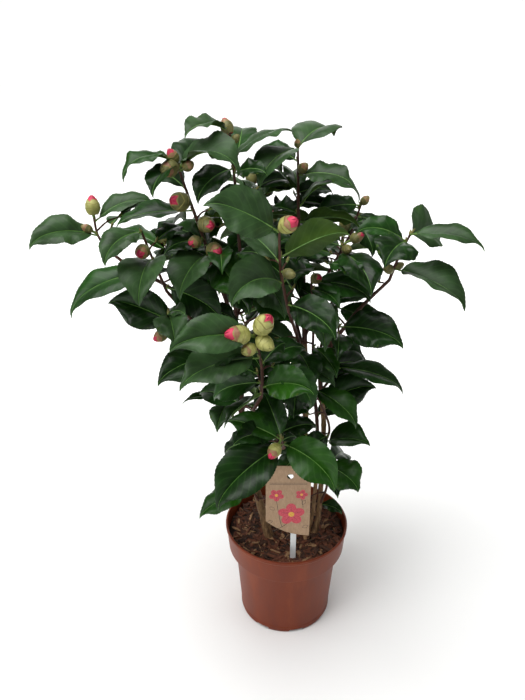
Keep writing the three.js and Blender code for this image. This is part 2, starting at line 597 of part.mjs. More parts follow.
Object.entries(MASSES).forEach(([name, mass], index) => {
  const draw = seededDraw(index + 1);
  const side = Array.isArray(mass.from);
  const parent = limbs[side ? mass.from[0] : mass.from];
  const forward = parent.curve.getTangent(1);
  const start = side ? atHeight(parent.curve, mass.from[1])
    : parent.curve.getPoint(1).addScaledVector(forward, GAP);
  const stem = {
    curve: smoothCurve([start, ...mass.path.map(vec)]),
    radii: [side ? SHOOT.sideRadius : parent.radii[1], SHOOT.tipRadius],
    steps: SHOOT.steps,
    startDirection: side ? null : forward,
  };
  const leaves = [...(mass.leaves ?? [])];
  const first = 360 * draw();
  for (let i = 0; i < (mass.fill ?? 0); i++) {
    const along = lerp(FILL.lowest, 1, i / (mass.fill - 1));
    leaves.push([along, first + FILL.turn * i, lerp(...FILL.rise, along) + FILL.riseSpread * (draw() - 0.5),
      lerp(...FILL.length, draw()), lerp(...FILL.droop, draw()), LEAF.lean, 1, LEAF.faceFrom.filled]);
  }
  const owners = [name, side ? mass.from[0] : mass.from];
  let solid = limbSolid(stem, SHOOT.sides);
  const pieces = [limbSolid(stem, SHOOT.sides, CLEAR)];
  const place = (rings) => {
    const fat = loft(rings(CLEAR));
    if (touches(fat, owners)) return;
    solid = solid.add(loft(rings(0)));
    pieces.push(fat);
  };
  for (const [along, ...bud] of mass.buds) {
    const base = stem.curve.getPoint(along);
    place((extra) => budRings(base, bud, extra));
  }
  for (const [along, bearing, rise, length, droop, ...more] of leaves) {
    const [lean = LEAF.lean, broad = 1, faceFrom = LEAF.faceFrom.set] = more;
    const base = stem.curve.getPoint(along);
    const sway = LEAF.sway * (draw() - 0.5);
    const fold = lerp(...LEAF.fold, draw());
    const width = broad * LEAF.width * lerp(...LEAF.growth, draw());
    const leaf = [bearing, rise, length, droop, lean, sway, fold, width];
    place((extra) => leafRings(base, leaf, faceFrom, extra));
  }
  solid = biggest(solid.subtract(parent.fat));
  addPart(name, solid, LOOKS.foliage);
  for (const piece of pieces) taken.push({ owner: name, solid: piece, box: piece.boundingBox() });
});

// ---------------------------------------------------------------- pot, mulch and label
const stemFeet = Object.keys(STEMS).map((name) => limbs[name]);
addPart('pot', potSolid(), LOOKS.pot);
addPart('bark_mulch', mulchSolid(stemFeet, stakeSolid(GAP)), LOOKS.mulch);
addPart('label_card', cardSolid(), LOOKS.card);
addPart('label_stake', stakeSolid(), LOOKS.stake);

export default model;
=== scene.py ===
"""A young camellia shrub in a terracotta-coloured plastic nursery pot, dressed piece by piece."""
import math

import bpy
import numpy as np
from mathutils import Matrix, Vector, noise
from mathutils.bvhtree import BVHTree


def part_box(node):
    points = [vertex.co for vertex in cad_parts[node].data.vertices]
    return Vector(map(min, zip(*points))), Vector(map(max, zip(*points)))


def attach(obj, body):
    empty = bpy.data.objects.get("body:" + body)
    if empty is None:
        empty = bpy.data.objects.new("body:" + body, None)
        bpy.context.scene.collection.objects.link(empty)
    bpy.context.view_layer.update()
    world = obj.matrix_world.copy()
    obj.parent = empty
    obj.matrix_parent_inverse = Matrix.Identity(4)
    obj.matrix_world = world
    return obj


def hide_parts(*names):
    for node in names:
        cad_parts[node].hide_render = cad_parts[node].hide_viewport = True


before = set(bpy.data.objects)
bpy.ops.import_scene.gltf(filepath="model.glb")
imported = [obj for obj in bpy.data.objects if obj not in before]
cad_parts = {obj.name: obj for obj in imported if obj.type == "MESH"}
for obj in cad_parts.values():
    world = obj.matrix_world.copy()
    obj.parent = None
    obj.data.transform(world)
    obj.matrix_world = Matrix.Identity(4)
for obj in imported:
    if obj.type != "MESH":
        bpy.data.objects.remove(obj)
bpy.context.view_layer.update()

# ---------------------------------------------------------------- pot
# A round nursery pot, injection-moulded in thin terracotta-coloured polypropylene. A ledge
# stiffens its foot, notches under the foot let water out, and a collar with a beaded rim
# stiffens its mouth. It stands on the floor at the origin and carries all the rest.
MM = 0.001
POT_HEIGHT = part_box("pot")[1].z / MM
RIM_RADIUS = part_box("pot")[1].x / MM
POT_WALL = 1.8
POT_FLOOR = 2.2
FOOT_RADIUS = 55.5
LEDGE = {"radius": 57, "height": 8, "slope": 3, "out": 1.2}
NECK = {"radius": 63.5, "height": 97, "ease": 2}
COLLAR = {"radius": 71.5, "height": 100}
BEAD = {"height": 5, "out": 1.2, "crown": 0.4, "lip": 0.6}
STEP = 1
FLOOR_CORNER = {"height": 2, "width": 2, "flat": 6}
CORNER_ROUND = 0.7
NOTCHES = {"count": 8, "width": 18, "height": 4, "first": 283, "reach": 12, "corner": 1}
POT_SIDES = 192


def rounded(corners, radius, steps=4, most=0.45):
    """An open outline whose inner corners are eased by up to a radius, or a share of a side."""
    corners = [np.array(corner, float) for corner in corners]
    eased = [corners[0]]
    for before, corner, after in zip(corners, corners[1:], corners[2:]):
        cuts = []
        for side in (before - corner, after - corner):
            length = np.linalg.norm(side)
            cuts.append(side / length * min(radius, most * length))
        for t in np.linspace(0, 1, steps):
            eased.append(corner + cuts[0] * (1 - t) ** 2 + cuts[1] * t ** 2)
    return np.array(eased + [corners[-1]])


def skin(rings):
    """The points and outward faces of a closed skin over equal rings of points, with flat ends."""
    rings = np.asarray(rings)
    index = np.arange(rings.shape[0] * rings.shape[1]).reshape(rings.shape[:2])
    following = np.roll(index, -1, axis=1)
    sides = np.stack([index[:-1], following[:-1], following[1:], index[1:]], axis=-1)
    return rings.reshape(-1, 3), sides.reshape(-1, 4).tolist() + [index[0][::-1].tolist(), index[-1].tolist()]


def new_piece(name, points, faces, materials, slots=None, uvs=None, sharp=40):
    """A piece of the object from points in millimetres; it rides on the root body."""
    mesh = bpy.data.meshes.new(name)
    mesh.from_pydata(np.asarray(points) * MM, [], faces)
    for material in materials:
        mesh.materials.append(material)
    if slots is not None:
        mesh.polygons.foreach_set("material_index", slots)
    if uvs is not None:
        corners = np.empty(len(mesh.loops), int)
        mesh.loops.foreach_get("vertex_index", corners)
        layer = mesh.uv_layers.new(name="UVMap")
        layer.data.foreach_set("uv", np.asarray(uvs, np.float32)[corners].ravel())
    mesh.polygons.foreach_set("use_smooth", [True] * len(mesh.polygons))
    mesh.set_sharp_from_angle(angle=math.radians(sharp))
    mesh.validate()
    piece = bpy.data.objects.new(name, mesh)
    bpy.context.scene.collection.objects.link(piece)
    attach(piece, "root")
    return piece


def ring_angles(count):
    return np.linspace(0, 2 * math.pi, count, endpoint=False)


def lathe(profile, sides):
    """Rings round the Z axis through the (radius, height) points of a profile."""
    angles = ring_angles(sides)
    return np.stack([
        np.stack([radius * np.cos(angles), radius * np.sin(angles), np.full(sides, height)], axis=-1)
        for radius, height in profile
    ])


def linear(colour):
    """A linear colour from its sRGB hex value."""
    channels = [int(colour[i:i + 2], 16) / 255 for i in (1, 3, 5)]
    return [c / 12.92 if c <= 0.04045 else ((c + 0.055) / 1.055) ** 2.4 for c in channels] + [1]


def add_node(tree, kind, settings, links=()):
    """A new node. Settings are properties, input values by name or number, or ramp stops."""
    made = tree.nodes.new(kind)
    for key, value in settings.items():
        if key == "stops":
            ramp = made.color_ramp
            for place, colour in value[1:-1]:
                ramp.elements.new(place).color = colour
            for element, (place, colour) in zip(ramp.elements, value):
                element.position, element.color = place, colour
        elif isinstance(key, int) or key in made.inputs:
            made.inputs[key].default_value = value
        else:
            setattr(made, key, value)
    for key, socket in dict(links).items():
        tree.links.new(socket, made.inputs[key])
    return made


def new_material(name):
    """An empty node material: its tree, and its output node."""
    material = bpy.data.materials.new(name)
    material.use_nodes = True
    material.node_tree.nodes.clear()
    return material, material.node_tree, material.node_tree.nodes.new("ShaderNodeOutputMaterial")


def per_metre(size):
    """The scale of a texture: how many of its marks, of a size in millimetres, a metre holds."""
    return round(1 / (size * MM))


# Moulded polypropylene: the dye is even, with a faint cloudiness, about 26 mm from cloud to
# cloud, where dust and water have dried on it. The surface is satin, with a fine moulded
# grain, drawn at 0.8 mm to show.
pot_plastic, tree, output = new_material("terracotta_polypropylene")
place = add_node(tree, "ShaderNodeTexCoord", {}).outputs["Object"]
streaks = add_node(tree, "ShaderNodeMapping", {"Scale": (1, 1, 0.25)}, {"Vector": place})
clouds = add_node(tree, "ShaderNodeTexNoise", {"Scale": per_metre(26), "Detail": 4, "Roughness": 0.6},
                  {"Vector": streaks.outputs[0]})
colour = add_node(tree, "ShaderNodeValToRGB", {"stops": [
    (0.3, linear("#672911")), (0.55, linear("#753115")), (0.75, linear("#863e1d"))]},
    {"Fac": clouds.outputs["Fac"]})
grain = add_node(tree, "ShaderNodeTexNoise", {"Scale": per_metre(0.8), "Detail": 2}, {"Vector": place})
bump = add_node(tree, "ShaderNodeBump", {"Strength": 0.12, "Distance": 0.2 * MM},
                {"Height": grain.outputs["Fac"]})
rough = add_node(tree, "ShaderNodeMapRange",
                 {"From Min": 0.3, "From Max": 0.7, "To Min": 0.4, "To Max": 0.52},
                 {"Value": clouds.outputs["Fac"]})
shader = add_node(tree, "ShaderNodeBsdfPrincipled", {"IOR": 1.49, "Specular IOR Level": 0.25},
                  {"Base Color": colour.outputs[0], "Roughness": rough.outputs[0],
                   "Normal": bump.outputs[0]})
tree.links.new(shader.outputs[0], output.inputs[0])

outside = [
    (FOOT_RADIUS, 0), (LEDGE["radius"], LEDGE["slope"]), (LEDGE["radius"], LEDGE["height"]),
    (FOOT_RADIUS + LEDGE["out"], LEDGE["height"] + STEP), (NECK["radius"], NECK["height"]),
    (COLLAR["radius"], COLLAR["height"]), (RIM_RADIUS - BEAD["out"], POT_HEIGHT - BEAD["height"]),
    (RIM_RADIUS, POT_HEIGHT - BEAD["height"] + STEP), (RIM_RADIUS, POT_HEIGHT - BEAD["crown"]),
    (RIM_RADIUS - 2 * BEAD["crown"], POT_HEIGHT),
]
inside_foot = FOOT_RADIUS - POT_WALL
inside = [
    (RIM_RADIUS - POT_WALL - BEAD["lip"], POT_HEIGHT), (COLLAR["radius"] - POT_WALL, COLLAR["height"] + STEP),
    (NECK["radius"] - POT_WALL, NECK["height"] - NECK["ease"]),
    (inside_foot, POT_FLOOR + FLOOR_CORNER["height"]),
    (inside_foot - FLOOR_CORNER["width"], POT_FLOOR), (inside_foot - FLOOR_CORNER["flat"], POT_FLOOR),
]
points, faces = skin(lathe(rounded(outside + inside, CORNER_ROUND), POT_SIDES))
pot = new_piece("nursery_pot", points, faces, [pot_plastic])

cutters = bpy.data.meshes.new("notch_cutters")
cutter_points, cutter_faces = [], []
for k in range(NOTCHES["count"]):
    angle = math.radians(NOTCHES["first"] + 360 * k / NOTCHES["count"])
    turn = Matrix.Rotation(angle, 3, "Z")
    half, top, corner = NOTCHES["width"] / 2, NOTCHES["height"], NOTCHES["corner"]
    ring = [(-half, -top), (half, -top), (half, top - corner), (half - corner, top),
            (corner - half, top), (-half, top - corner)]
    rings = [[turn @ Vector((reach, y, z)) * MM for y, z in ring]
             for reach in (FOOT_RADIUS - NOTCHES["reach"], FOOT_RADIUS + NOTCHES["reach"])]
    block, block_faces = skin(rings)
    cutter_faces += [[i + len(cutter_points) for i in face] for face in block_faces]
    cutter_points += block.tolist()
cutters.from_pydata(cutter_points, [], cutter_faces)
cutter = bpy.data.objects.new("notch_cutter", cutters)
bpy.context.scene.collection.objects.link(cutter)
cut = pot.modifiers.new("notches", "BOOLEAN")
cut.operation, cut.object, cut.solver = "DIFFERENCE", cutter, "EXACT"
notched = bpy.data.meshes.new_from_object(pot.evaluated_get(bpy.context.evaluated_depsgraph_get()))
pot.modifiers.clear()
pot.data = notched
bpy.data.objects.remove(cutter)
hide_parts("pot")

# ---------------------------------------------------------------- bark mulch
# Composted pine bark spread over the potting soil up to just under the rim: flat torn chips
# and a few long fibres lying every way, dark and damp below, with dry tan chips on top.
MULCH_TOP = 121
MULCH_RADIUS = 70
# The soil under the chips, measured down from MULCH_TOP and in from MULCH_RADIUS, with its lumps.
BED = {"depth": 2, "shoulder": 3, "into_wall": 0.4, "side": 14, "under": 16, "foot": 8, "ring": 4,
       "middle": 2, "sides": 72, "lump": 1.6, "lump_scale": 0.14}
CHIPS = {"count": 1500, "length": (6, 19), "width": (2, 5.5), "thickness": (0.7, 1.8)}
FIBRES = {"count": 240, "length": (10, 26), "width": (0.7, 1.4), "thickness": (0.5, 0.9)}
# A chip's cross-sections, each with its place along the chip and its width, and how uneven they are.
CHIP = {"sections": ((-0.5, 0.55), (-0.2, 1), (0.2, 0.95), (0.5, 0.4)), "bend": (-0.12, 0.12),
        "width": (0.75, 1.15), "depth": (0.7, 1.1), "off": (-0.15, 0.15)}
# How the chips lie: clear of the pot, piled up, tilted and, near the top, drier and paler.
SPREAD = {"clear": 0.42, "pile": 3.4, "pitch": 0.5, "roll": 1.1, "drier": 0.35, "browns": (0.3, 0.68, 1.12),
          "seed": 3}
# The run of pseudo-random numbers that all scattered parts share.
RUN = {"step": 48271, "modulus": 2147483647, "apart": 7919, "first": 17}


def seeded_draw(seed):
    """The next of a fixed run of numbers from 0 to 1, at each call."""
    state = seed * RUN["apart"] + RUN["first"]

    def draw():
        nonlocal state
        state = state * RUN["step"] % RUN["modulus"]
        return state / RUN["modulus"]
    return draw


def lerp(low, high, share):
    return low + (high - low) * share


class Heap:
    """Gathers many closed skins, each with its material slot, to be joined into one piece."""

    def __init__(self):
        self.points, self.faces, self.slots, self.uvs = [], [], [], []
        self.count = 0

    def add(self, points, faces, slots, uvs=None):
        self.faces += [[i + self.count for i in face] for face in faces]
        self.slots += [slots] * len(faces) if isinstance(slots, int) else list(slots)
        self.points.append(np.asarray(points))
        self.uvs.append(np.zeros((len(points), 2)) if uvs is None else uvs)
        self.count += len(points)

    def build(self, name, materials, sharp=40):
        points, uvs = np.concatenate(self.points), np.concatenate(self.uvs)
        return new_piece(name, points, self.faces, materials, self.slots, uvs, sharp)


def mottled_material(name, stops, texture, surface, stretch=1, relief=0):
    """A material whose colour runs through stops with a noise, which relief also raises."""
    material, tree, output = new_material(name)
    place = add_node(tree, "ShaderNodeTexCoord", {}).outputs["Object"]
    drawn_out = add_node(tree, "ShaderNodeMapping", {"Scale": (1, 1, stretch)}, {"Vector": place})
    mottle = add_node(tree, "ShaderNodeTexNoise", texture, {"Vector": drawn_out.outputs[0]}).outputs["Fac"]
    ramp = [(share, linear(tone)) for share, tone in stops]
    colour = add_node(tree, "ShaderNodeValToRGB", {"stops": ramp}, {"Fac": mottle})
    shader = add_node(tree, "ShaderNodeBsdfPrincipled", surface, {"Base Color": colour.outputs[0]})
    if relief:
        bump = add_node(tree, "ShaderNodeBump", {"Strength": relief, "Distance": 0.6 * MM},
                        {"Height": mottle})
        tree.links.new(bump.outputs[0], shader.inputs["Normal"])
    tree.links.new(shader.outputs[0], output.inputs[0])
    return material


# Torn bark: matt and fibrous, each chip its own brown, mottled every 4 mm or so.
def bark_chip_material(name, dark, light):
    return mottled_material(name, [(0.35, dark), (0.7, light)],
                            {"Scale": per_metre(3.85), "Detail": 5, "Roughness": 0.65},
                            {"IOR": 1.45, "Roughness": 0.86}, relief=0.6)


bark_chips = [
    bark_chip_material("damp_bark_dark", "#1d120d", "#38231a"),
    bark_chip_material("damp_bark_brown", "#2f1c13", "#553524"),
    bark_chip_material("bark_red_brown", "#4a2719", "#7a4830"),
    bark_chip_material("dry_bark_tan", "#7b5a3e", "#ab8560"),
]


def chip_rings(middle, size, turn, draw):
    """A flat torn chip of four uneven cross-sections, bent a little."""
    length, width, thickness = size
    bend = lerp(*CHIP["bend"], draw())
    rings = []
    for along, share in CHIP["sections"]:
        half = 0.5 * width * share * lerp(*CHIP["width"], draw())
        deep = 0.5 * thickness * lerp(*CHIP["depth"], draw())
        off, lift = width * lerp(*CHIP["off"], draw()), bend * length * (1 - 4 * along ** 2)
        x = along * length
        corners = ((half, -deep), (half * 0.8, deep), (-half, deep * 0.8), (-half * 0.9, -deep))
        rings.append([turn @ Vector((x, off + y, lift + z)) + middle for y, z in corners])
    return rings


mulch = Heap()
draw = seeded_draw(SPREAD["seed"])
soil = [(MULCH_RADIUS - BED["foot"], MULCH_TOP - BED["under"]), (MULCH_RADIUS, MULCH_TOP - BED["side"]),
        (MULCH_RADIUS + BED["into_wall"], MULCH_TOP - BED["shoulder"])]
level_rings = range(MULCH_RADIUS - BED["ring"], BED["middle"], -BED["ring"])
soil_rings = lathe(soil + [(radius, MULCH_TOP - BED["depth"]) for radius in level_rings], BED["sides"])
for ring in soil_rings[len(soil):]:
    for point in ring:
        point[2] += BED["lump"] * noise.noise(Vector(point) * BED["lump_scale"])
mulch.add(*skin(soil_rings), 0)
for kind in (CHIPS, FIBRES):
    for i in range(kind["count"]):
        size = [lerp(*kind[side], draw()) for side in ("length", "width", "thickness")]
        reach = (MULCH_RADIUS - SPREAD["clear"] * size[0]) * math.sqrt(draw())
        bearing = 2 * math.pi * draw()
        level = i / kind["count"]
        height = MULCH_TOP - BED["depth"] + SPREAD["pile"] * level
        middle = Vector((reach * math.cos(bearing), reach * math.sin(bearing), height))
        turn = (Matrix.Rotation(2 * math.pi * draw(), 3, "Z")
                @ Matrix.Rotation(SPREAD["pitch"] * (draw() - 0.5), 3, "Y")
                @ Matrix.Rotation(SPREAD["roll"] * (draw() - 0.5), 3, "X"))
        shade = draw() + SPREAD["drier"] * level
        slot = sum(shade >= limit for limit in SPREAD["browns"])
        mulch.add(*skin(chip_rings(middle, size, turn, draw)), slot)
bark_mulch = mulch.build("bark_mulch_chips", bark_chips)
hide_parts("bark_mulch")

# ---------------------------------------------------------------- stems and boughs
# Four main stems rise from the soil and fork into boughs. The old wood has thin tan-grey
# bark, finely ridged along its length and ringed where leaves once grew; the younger wood
# above is smoother and reddish brown.
SOIL = 118.3

# Each stem: its points, and its radii at the foot and the top.
STEMS = {
    "left_stem": ([[-21, -16, SOIL], [-37, -15, 193], [-51, -15, 267], [-54, -12, 330], [-62, -6, 418]],
                  (4.6, 2.9)),
    "right_stem": ([[34, -11, SOIL], [39, -10, 160], [40, -10, 273], [34, -6, 345], [46, -5, 386]],
                   (3.2, 2.5)),
    "right_stem_twin": ([[25, -13, SOIL], [32.5, -11.5, 170], [33, -9, 270], [25, 8, 340]], (2.6, 1.9)),
    "middle_stem": ([[14, 24, SOIL], [21, 20, 270], [17, 22, 380], [14, 22, 448]], (3.8, 2.4)),
}

# Each bough: the stem it leaves and the height there, its further points, and its radii.
BOUGHS = {
    "top_left_bough": ("left_stem", 396, [[-55, -14, 450], [-52, -15, 486]], (2.2, 1.7)),
    "left_bough": ("left_stem", 412, [[-73, -11, 452], [-80, -17, 474]], (2.4, 2)),
    "far_left_bough": ("left_stem", 372, [[-112, -16, 440], [-160, -14, 470], [-176, -15, 483]], (2.1, 1.5)),
    "left_front_bough": ("left_stem", 352, [[-92, -34, 410], [-124, -36, 454]], (2, 1.6)),
    "left_low_bough": ("left_stem", 322, [[-82, -38, 372], [-108, -46, 412]], (1.9, 1.5)),
    "front_bough": ("left_stem", 270, [[-42, -62, 325], [-31, -98, 370]], (2.2, 1.7)),
    "centre_bough": ("middle_stem", 330, [[8, -22, 392], [-4, -56, 440]], (2, 1.6)),
    "low_front_bough": ("left_stem", 225, [[-26, -52, 272], [-8, -92, 306]], (1.8, 1.5)),
    "right_bough": ("right_stem", 378, [[71, -10, 423], [98, -17, 458]], (2.2, 1.7)),
    "inner_right_bough": ("middle_stem", 376, [[38, 10, 428], [49, 2, 460]], (1.8, 1.4)),
    "top_right_bough": ("middle_stem", 404, [[44, 36, 450], [64, 40, 488]], (1.8, 1.4)),
    "back_left_bough": ("left_stem", 340, [[-92, 34, 402], [-122, 56, 442]], (1.9, 1.4)),
    "back_high_bough": ("middle_stem", 416, [[-12, 52, 462], [-30, 70, 496]], (1.8, 1.4)),
    "back_middle_bough": ("middle_stem", 352, [[0, 72, 408], [-8, 104, 432]], (1.9, 1.4)),
    "back_right_bough": ("right_stem_twin", 326, [[44, 48, 384], [58, 78, 424]], (1.7, 1.4)),
    "back_low_bough": ("middle_stem", 250, [[-22, 66, 300], [-38, 88, 326]], (1.8, 1.4)),
}

# How a stem widens at its foot, and how high and far apart the ridges and rings of bark are.
FLARE = {"out": 0.35, "fade": 9}
BARK = {"pitch": 2.5, "ridge": 0.09, "around": 2.4, "along": 0.09, "apart": 7,
        "ring": 0.13, "ring_width": 1.1, "stagger": 0.37}
# How each kind of limb is drawn: its sides, the distance between old leaves, and its first seed.
LIMB_DETAIL = {"stem": (24, 34, 0), "bough": (16, 26, 10), "shoot": (12, 19, 40), "twiglet": (8, 9, 0)}
YOUNG_WOOD = 0.62


def hermite(points, t):
    """Points at places t, 0 to 1, of the smooth curve through a list of points."""
    points = np.asarray(points, float)
    padded = np.concatenate([[2 * points[0] - points[1]], points, [2 * points[-1] - points[-2]]])
    spans = len(points) - 1
    span = np.clip((np.asarray(t) * spans).astype(int), 0, spans - 1)
    w = (np.asarray(t) * spans - span)[..., None]
    before, start, end, after = (padded[span + i] for i in range(4))
    out, into = 0.5 * (end - before), 0.5 * (after - start)
    return (start + out * w + (3 * end - 3 * start - 2 * out - into) * w ** 2
            + (2 * start - 2 * end + out + into) * w ** 3)


def tangents(points, t, nudge=0.0001):
    t = np.asarray(t, float)
    step = hermite(points, np.minimum(t + nudge, 1)) - hermite(points, np.maximum(t - nudge, 0))
    return step / np.linalg.norm(step, axis=-1, keepdims=True)


def at_height(points, height, halvings=30):
    """The point of a limb at a height."""
    low, high = 0, 1
    for _ in range(halvings):
        middle = (low + high) / 2
        if hermite(points, middle)[2] < height:
            low = middle
        else:
            high = middle
    return hermite(points, low)


def limb_frames(points, t):
    """The centre, side and across directions of a limb at places t."""
    side = np.array([1.0, 0, 0])
    frames = []
    for centre, along in zip(hermite(points, t), tangents(points, t)):
        side = side - along * side.dot(along)
        side = side / np.linalg.norm(side)
        frames.append((centre, side, np.cross(along, side)))
    return frames


def limb_radius(limb, t):
    flare = 1 + FLARE["out"] * np.exp(-FLARE["fade"] * t) if limb["flare"] else 1
    return lerp(*limb["radii"], t) * flare


def round_ring(centre, radius, side, across, sides):
    """A ring of points round a centre; its radius is one number or a column of them."""
    angles = ring_angles(sides)[:, None]
    return centre + radius * (np.cos(angles) * side + np.sin(angles) * across)


def plain_limb(limb, sides, steps, extra):
    """A limb as the plain skin that leaves are kept clear of."""
    places = np.linspace(0, 1, steps + 1)
    return skin([round_ring(centre, limb_radius(limb, t) + extra, side, across, sides)
                 for t, (centre, side, across) in zip(places, limb_frames(limb["points"], places))])


def limb_length(limb):
    return np.linalg.norm(np.diff(hermite(limb["points"], np.linspace(0, 1, 40)), axis=0), axis=1).sum()


def bark_rings(limb, kind, number):
    """A limb with the relief of its bark: low ridges along it, and a raised ring at each old leaf."""
    sides, knuckle, first_seed = LIMB_DETAIL[kind]
    seed = first_seed + number
    length = limb_length(limb)
    places = np.linspace(0, 1, max(6, round(length / BARK["pitch"])) + 1)
    rings = []
    for t, (centre, side, across) in zip(places, limb_frames(limb["points"], places)):
        distance = t * length
        along = distance * BARK["along"] + BARK["apart"] * seed
        ridges = np.array([
            noise.noise(Vector((BARK["around"] * math.cos(a), BARK["around"] * math.sin(a), along)))
            for a in ring_angles(sides)])
        near = abs((distance / knuckle + BARK["stagger"] * seed) % 1 - 0.5) * knuckle
        ring = BARK["ring"] * math.exp(-(near / BARK["ring_width"]) ** 2)
        radius = limb_radius(limb, t) * (1 + BARK["ridge"] * ridges + ring)
        rings.append(round_ring(centre, radius[:, None], side, across, sides))
    return np.array(rings)


# Bark of the old wood: dry and matt, tan with grey-brown cracks 2 to 3 mm apart that run
# along the stem. Bark of the young wood: thin, reddish brown and slightly waxy.
def wood_material(name, stops, roughness, relief):
    return mottled_material(name, stops, {"Scale": per_metre(2.38), "Detail": 6, "Roughness": 0.7},
                            {"IOR": 1.45, "Roughness": roughness}, 0.22, relief)


old_bark = wood_material("old_camellia_bark", [(0.32, "#4a3726"), (0.5, "#785c3e"), (0.72, "#9c7e58")],
                         0.8, 0.6)
young_bark = wood_material("young_camellia_bark", [(0.32, "#2a1610"), (0.5, "#472619"), (0.72, "#633a28")],
                           0.62, 0.4)

limbs = {}
wood = Heap()
for number, (name, (path, radii)) in enumerate(STEMS.items()):
    limbs[name] = {"points": path, "radii": radii, "flare": True}
    stem_rings = bark_rings(limbs[name], "stem", number)
    points, faces = skin(stem_rings)
    young_from = YOUNG_WOOD * stem_rings.shape[0] * stem_rings.shape[1]
    wood.add(points, faces, [int(min(face) > young_from) for face in faces])
for number, (name, (parent_name, height, path, radii)) in enumerate(BOUGHS.items()):
    start = at_height(limbs[parent_name]["points"], height)
    limbs[name] = {"points": [start, *path], "radii": radii, "flare": False}
    wood.add(*skin(bark_rings(limbs[name], "bough", number)), 1)
for limb in limbs.values():
    limb["parts"] = plain_limb(limb, sides=8, steps=10, extra=0.3)
stems = wood.build("stems_and_boughs", [old_bark, young_bark], sharp=60)
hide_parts(*STEMS, *BOUGHS)

# ---------------------------------------------------------------- shoots with leaves and buds
# Young shoots go on from the boughs. Each bears alternate leathery leaves, folded up along
# the midrib, arched under their own weight and finely toothed, and fat flower buds with
# overlapping scales. A leaf that would touch wood or an earlier shoot's leaf is left off.

# Lengths are in millimetres, angles in degrees; a pair holds the least and the most, or the values
# at the foot and the tip.
SHOOT = {"radii": (1.6, 1.1), "into_bough": 0.3, "clear": 0.5, "seeds": (1, 101)}
FILL = {"turn": 137.5, "lowest": 0.08, "rise": (2, 34), "stray": 14, "length": (56, 76), "droop": (36, 66)}
LEAF = {
    "petiole": 0.1, "width": 0.56, "growth": (0.94, 1.06), "fold": (14, 30), "lean": 34, "sway": 14,
    "droop_power": 1.3, "hook": 45, "hook_power": 8, "face_from": {"set": (-30, 170), "filled": (-30, 10)},
    "full": (0.85, 0.75), "point": {"from": 0.62, "to": 0.96, "narrow": 0.6}, "steps": 80,
    "plain": {"places": (0, 0.2, 0.5, 0.8, 0.995), "half_thickness": 0.7, "petiole": 0.9},
}
# The blade that shows: its thickness, teeth, columns of points, midrib, groove, rib and waves.
BLADE = {
    "thickness": 0.55, "edge": 0.22, "tooth": 0.55, "tooth_pitch": 3.2, "tooth_at": 0.78, "toothless": (8, 9),
    "narrowest": 0.45, "columns": (0.7, 0.36), "midrib": (0.6, 0.16), "midrib_share": 0.3, "groove": 0.22,
    "rib": (0.6, 0.12), "rib_side": 0.12, "wave": (0.6, 2.4), "calm": 8, "roll": (0, 0.3),
    "ripples": ((1, 2.1, 1, 1.9), (0.5, 4.3, 2.7, 4.1)),
}
CM = 10
# A petiole: its radii from the twig to where it runs out under the blade.
STALK_TUBE = {"sides": 8, "radii": (1.15, 0.9, 0.85, 0.7, 0.3), "into": 0.1, "under": 0.35}
# A flower bud: its plain profile, when it is ripe, and its stalk, furled petals and scales.
BUD = {
    "sides": 5, "profile": [(0, 0.4), (0.28, 0.98), (0.68, 0.84), (1, 0.02)], "slender": 1.45,
    "ripe": 9.5, "opening": (0.84, 1.02), "flushed": 0.55, "stalk": (1.1, 1.2, 0.2), "stalk_into": 0.6,
}
EGG = {"foot": 0.12, "low": 0.9, "full": 0.7}
PETALS = {"sides": 12, "rows": 9, "from": 0.02, "to": 0.985, "under": 0.5}
SCALES = {"across": 7, "rows": (0, 0.25, 0.5, 0.75, 0.95, 1), "round": (0.26, 1.8), "swell": 0.25,
          "hug": 0.7, "drawn_at": 15, "thickness": 0.4, "stagger": 0.37}
LEAF_BUD = {"sides": 8, "turn": 20, "lift": 45, "steepest": 80, "length": (5, 7.5),
            "profile": ((0, 0.1), (0.25, 0.17), (0.5, 0.19), (0.52, 0.165), (0.8, 0.11), (1, 0.012))}
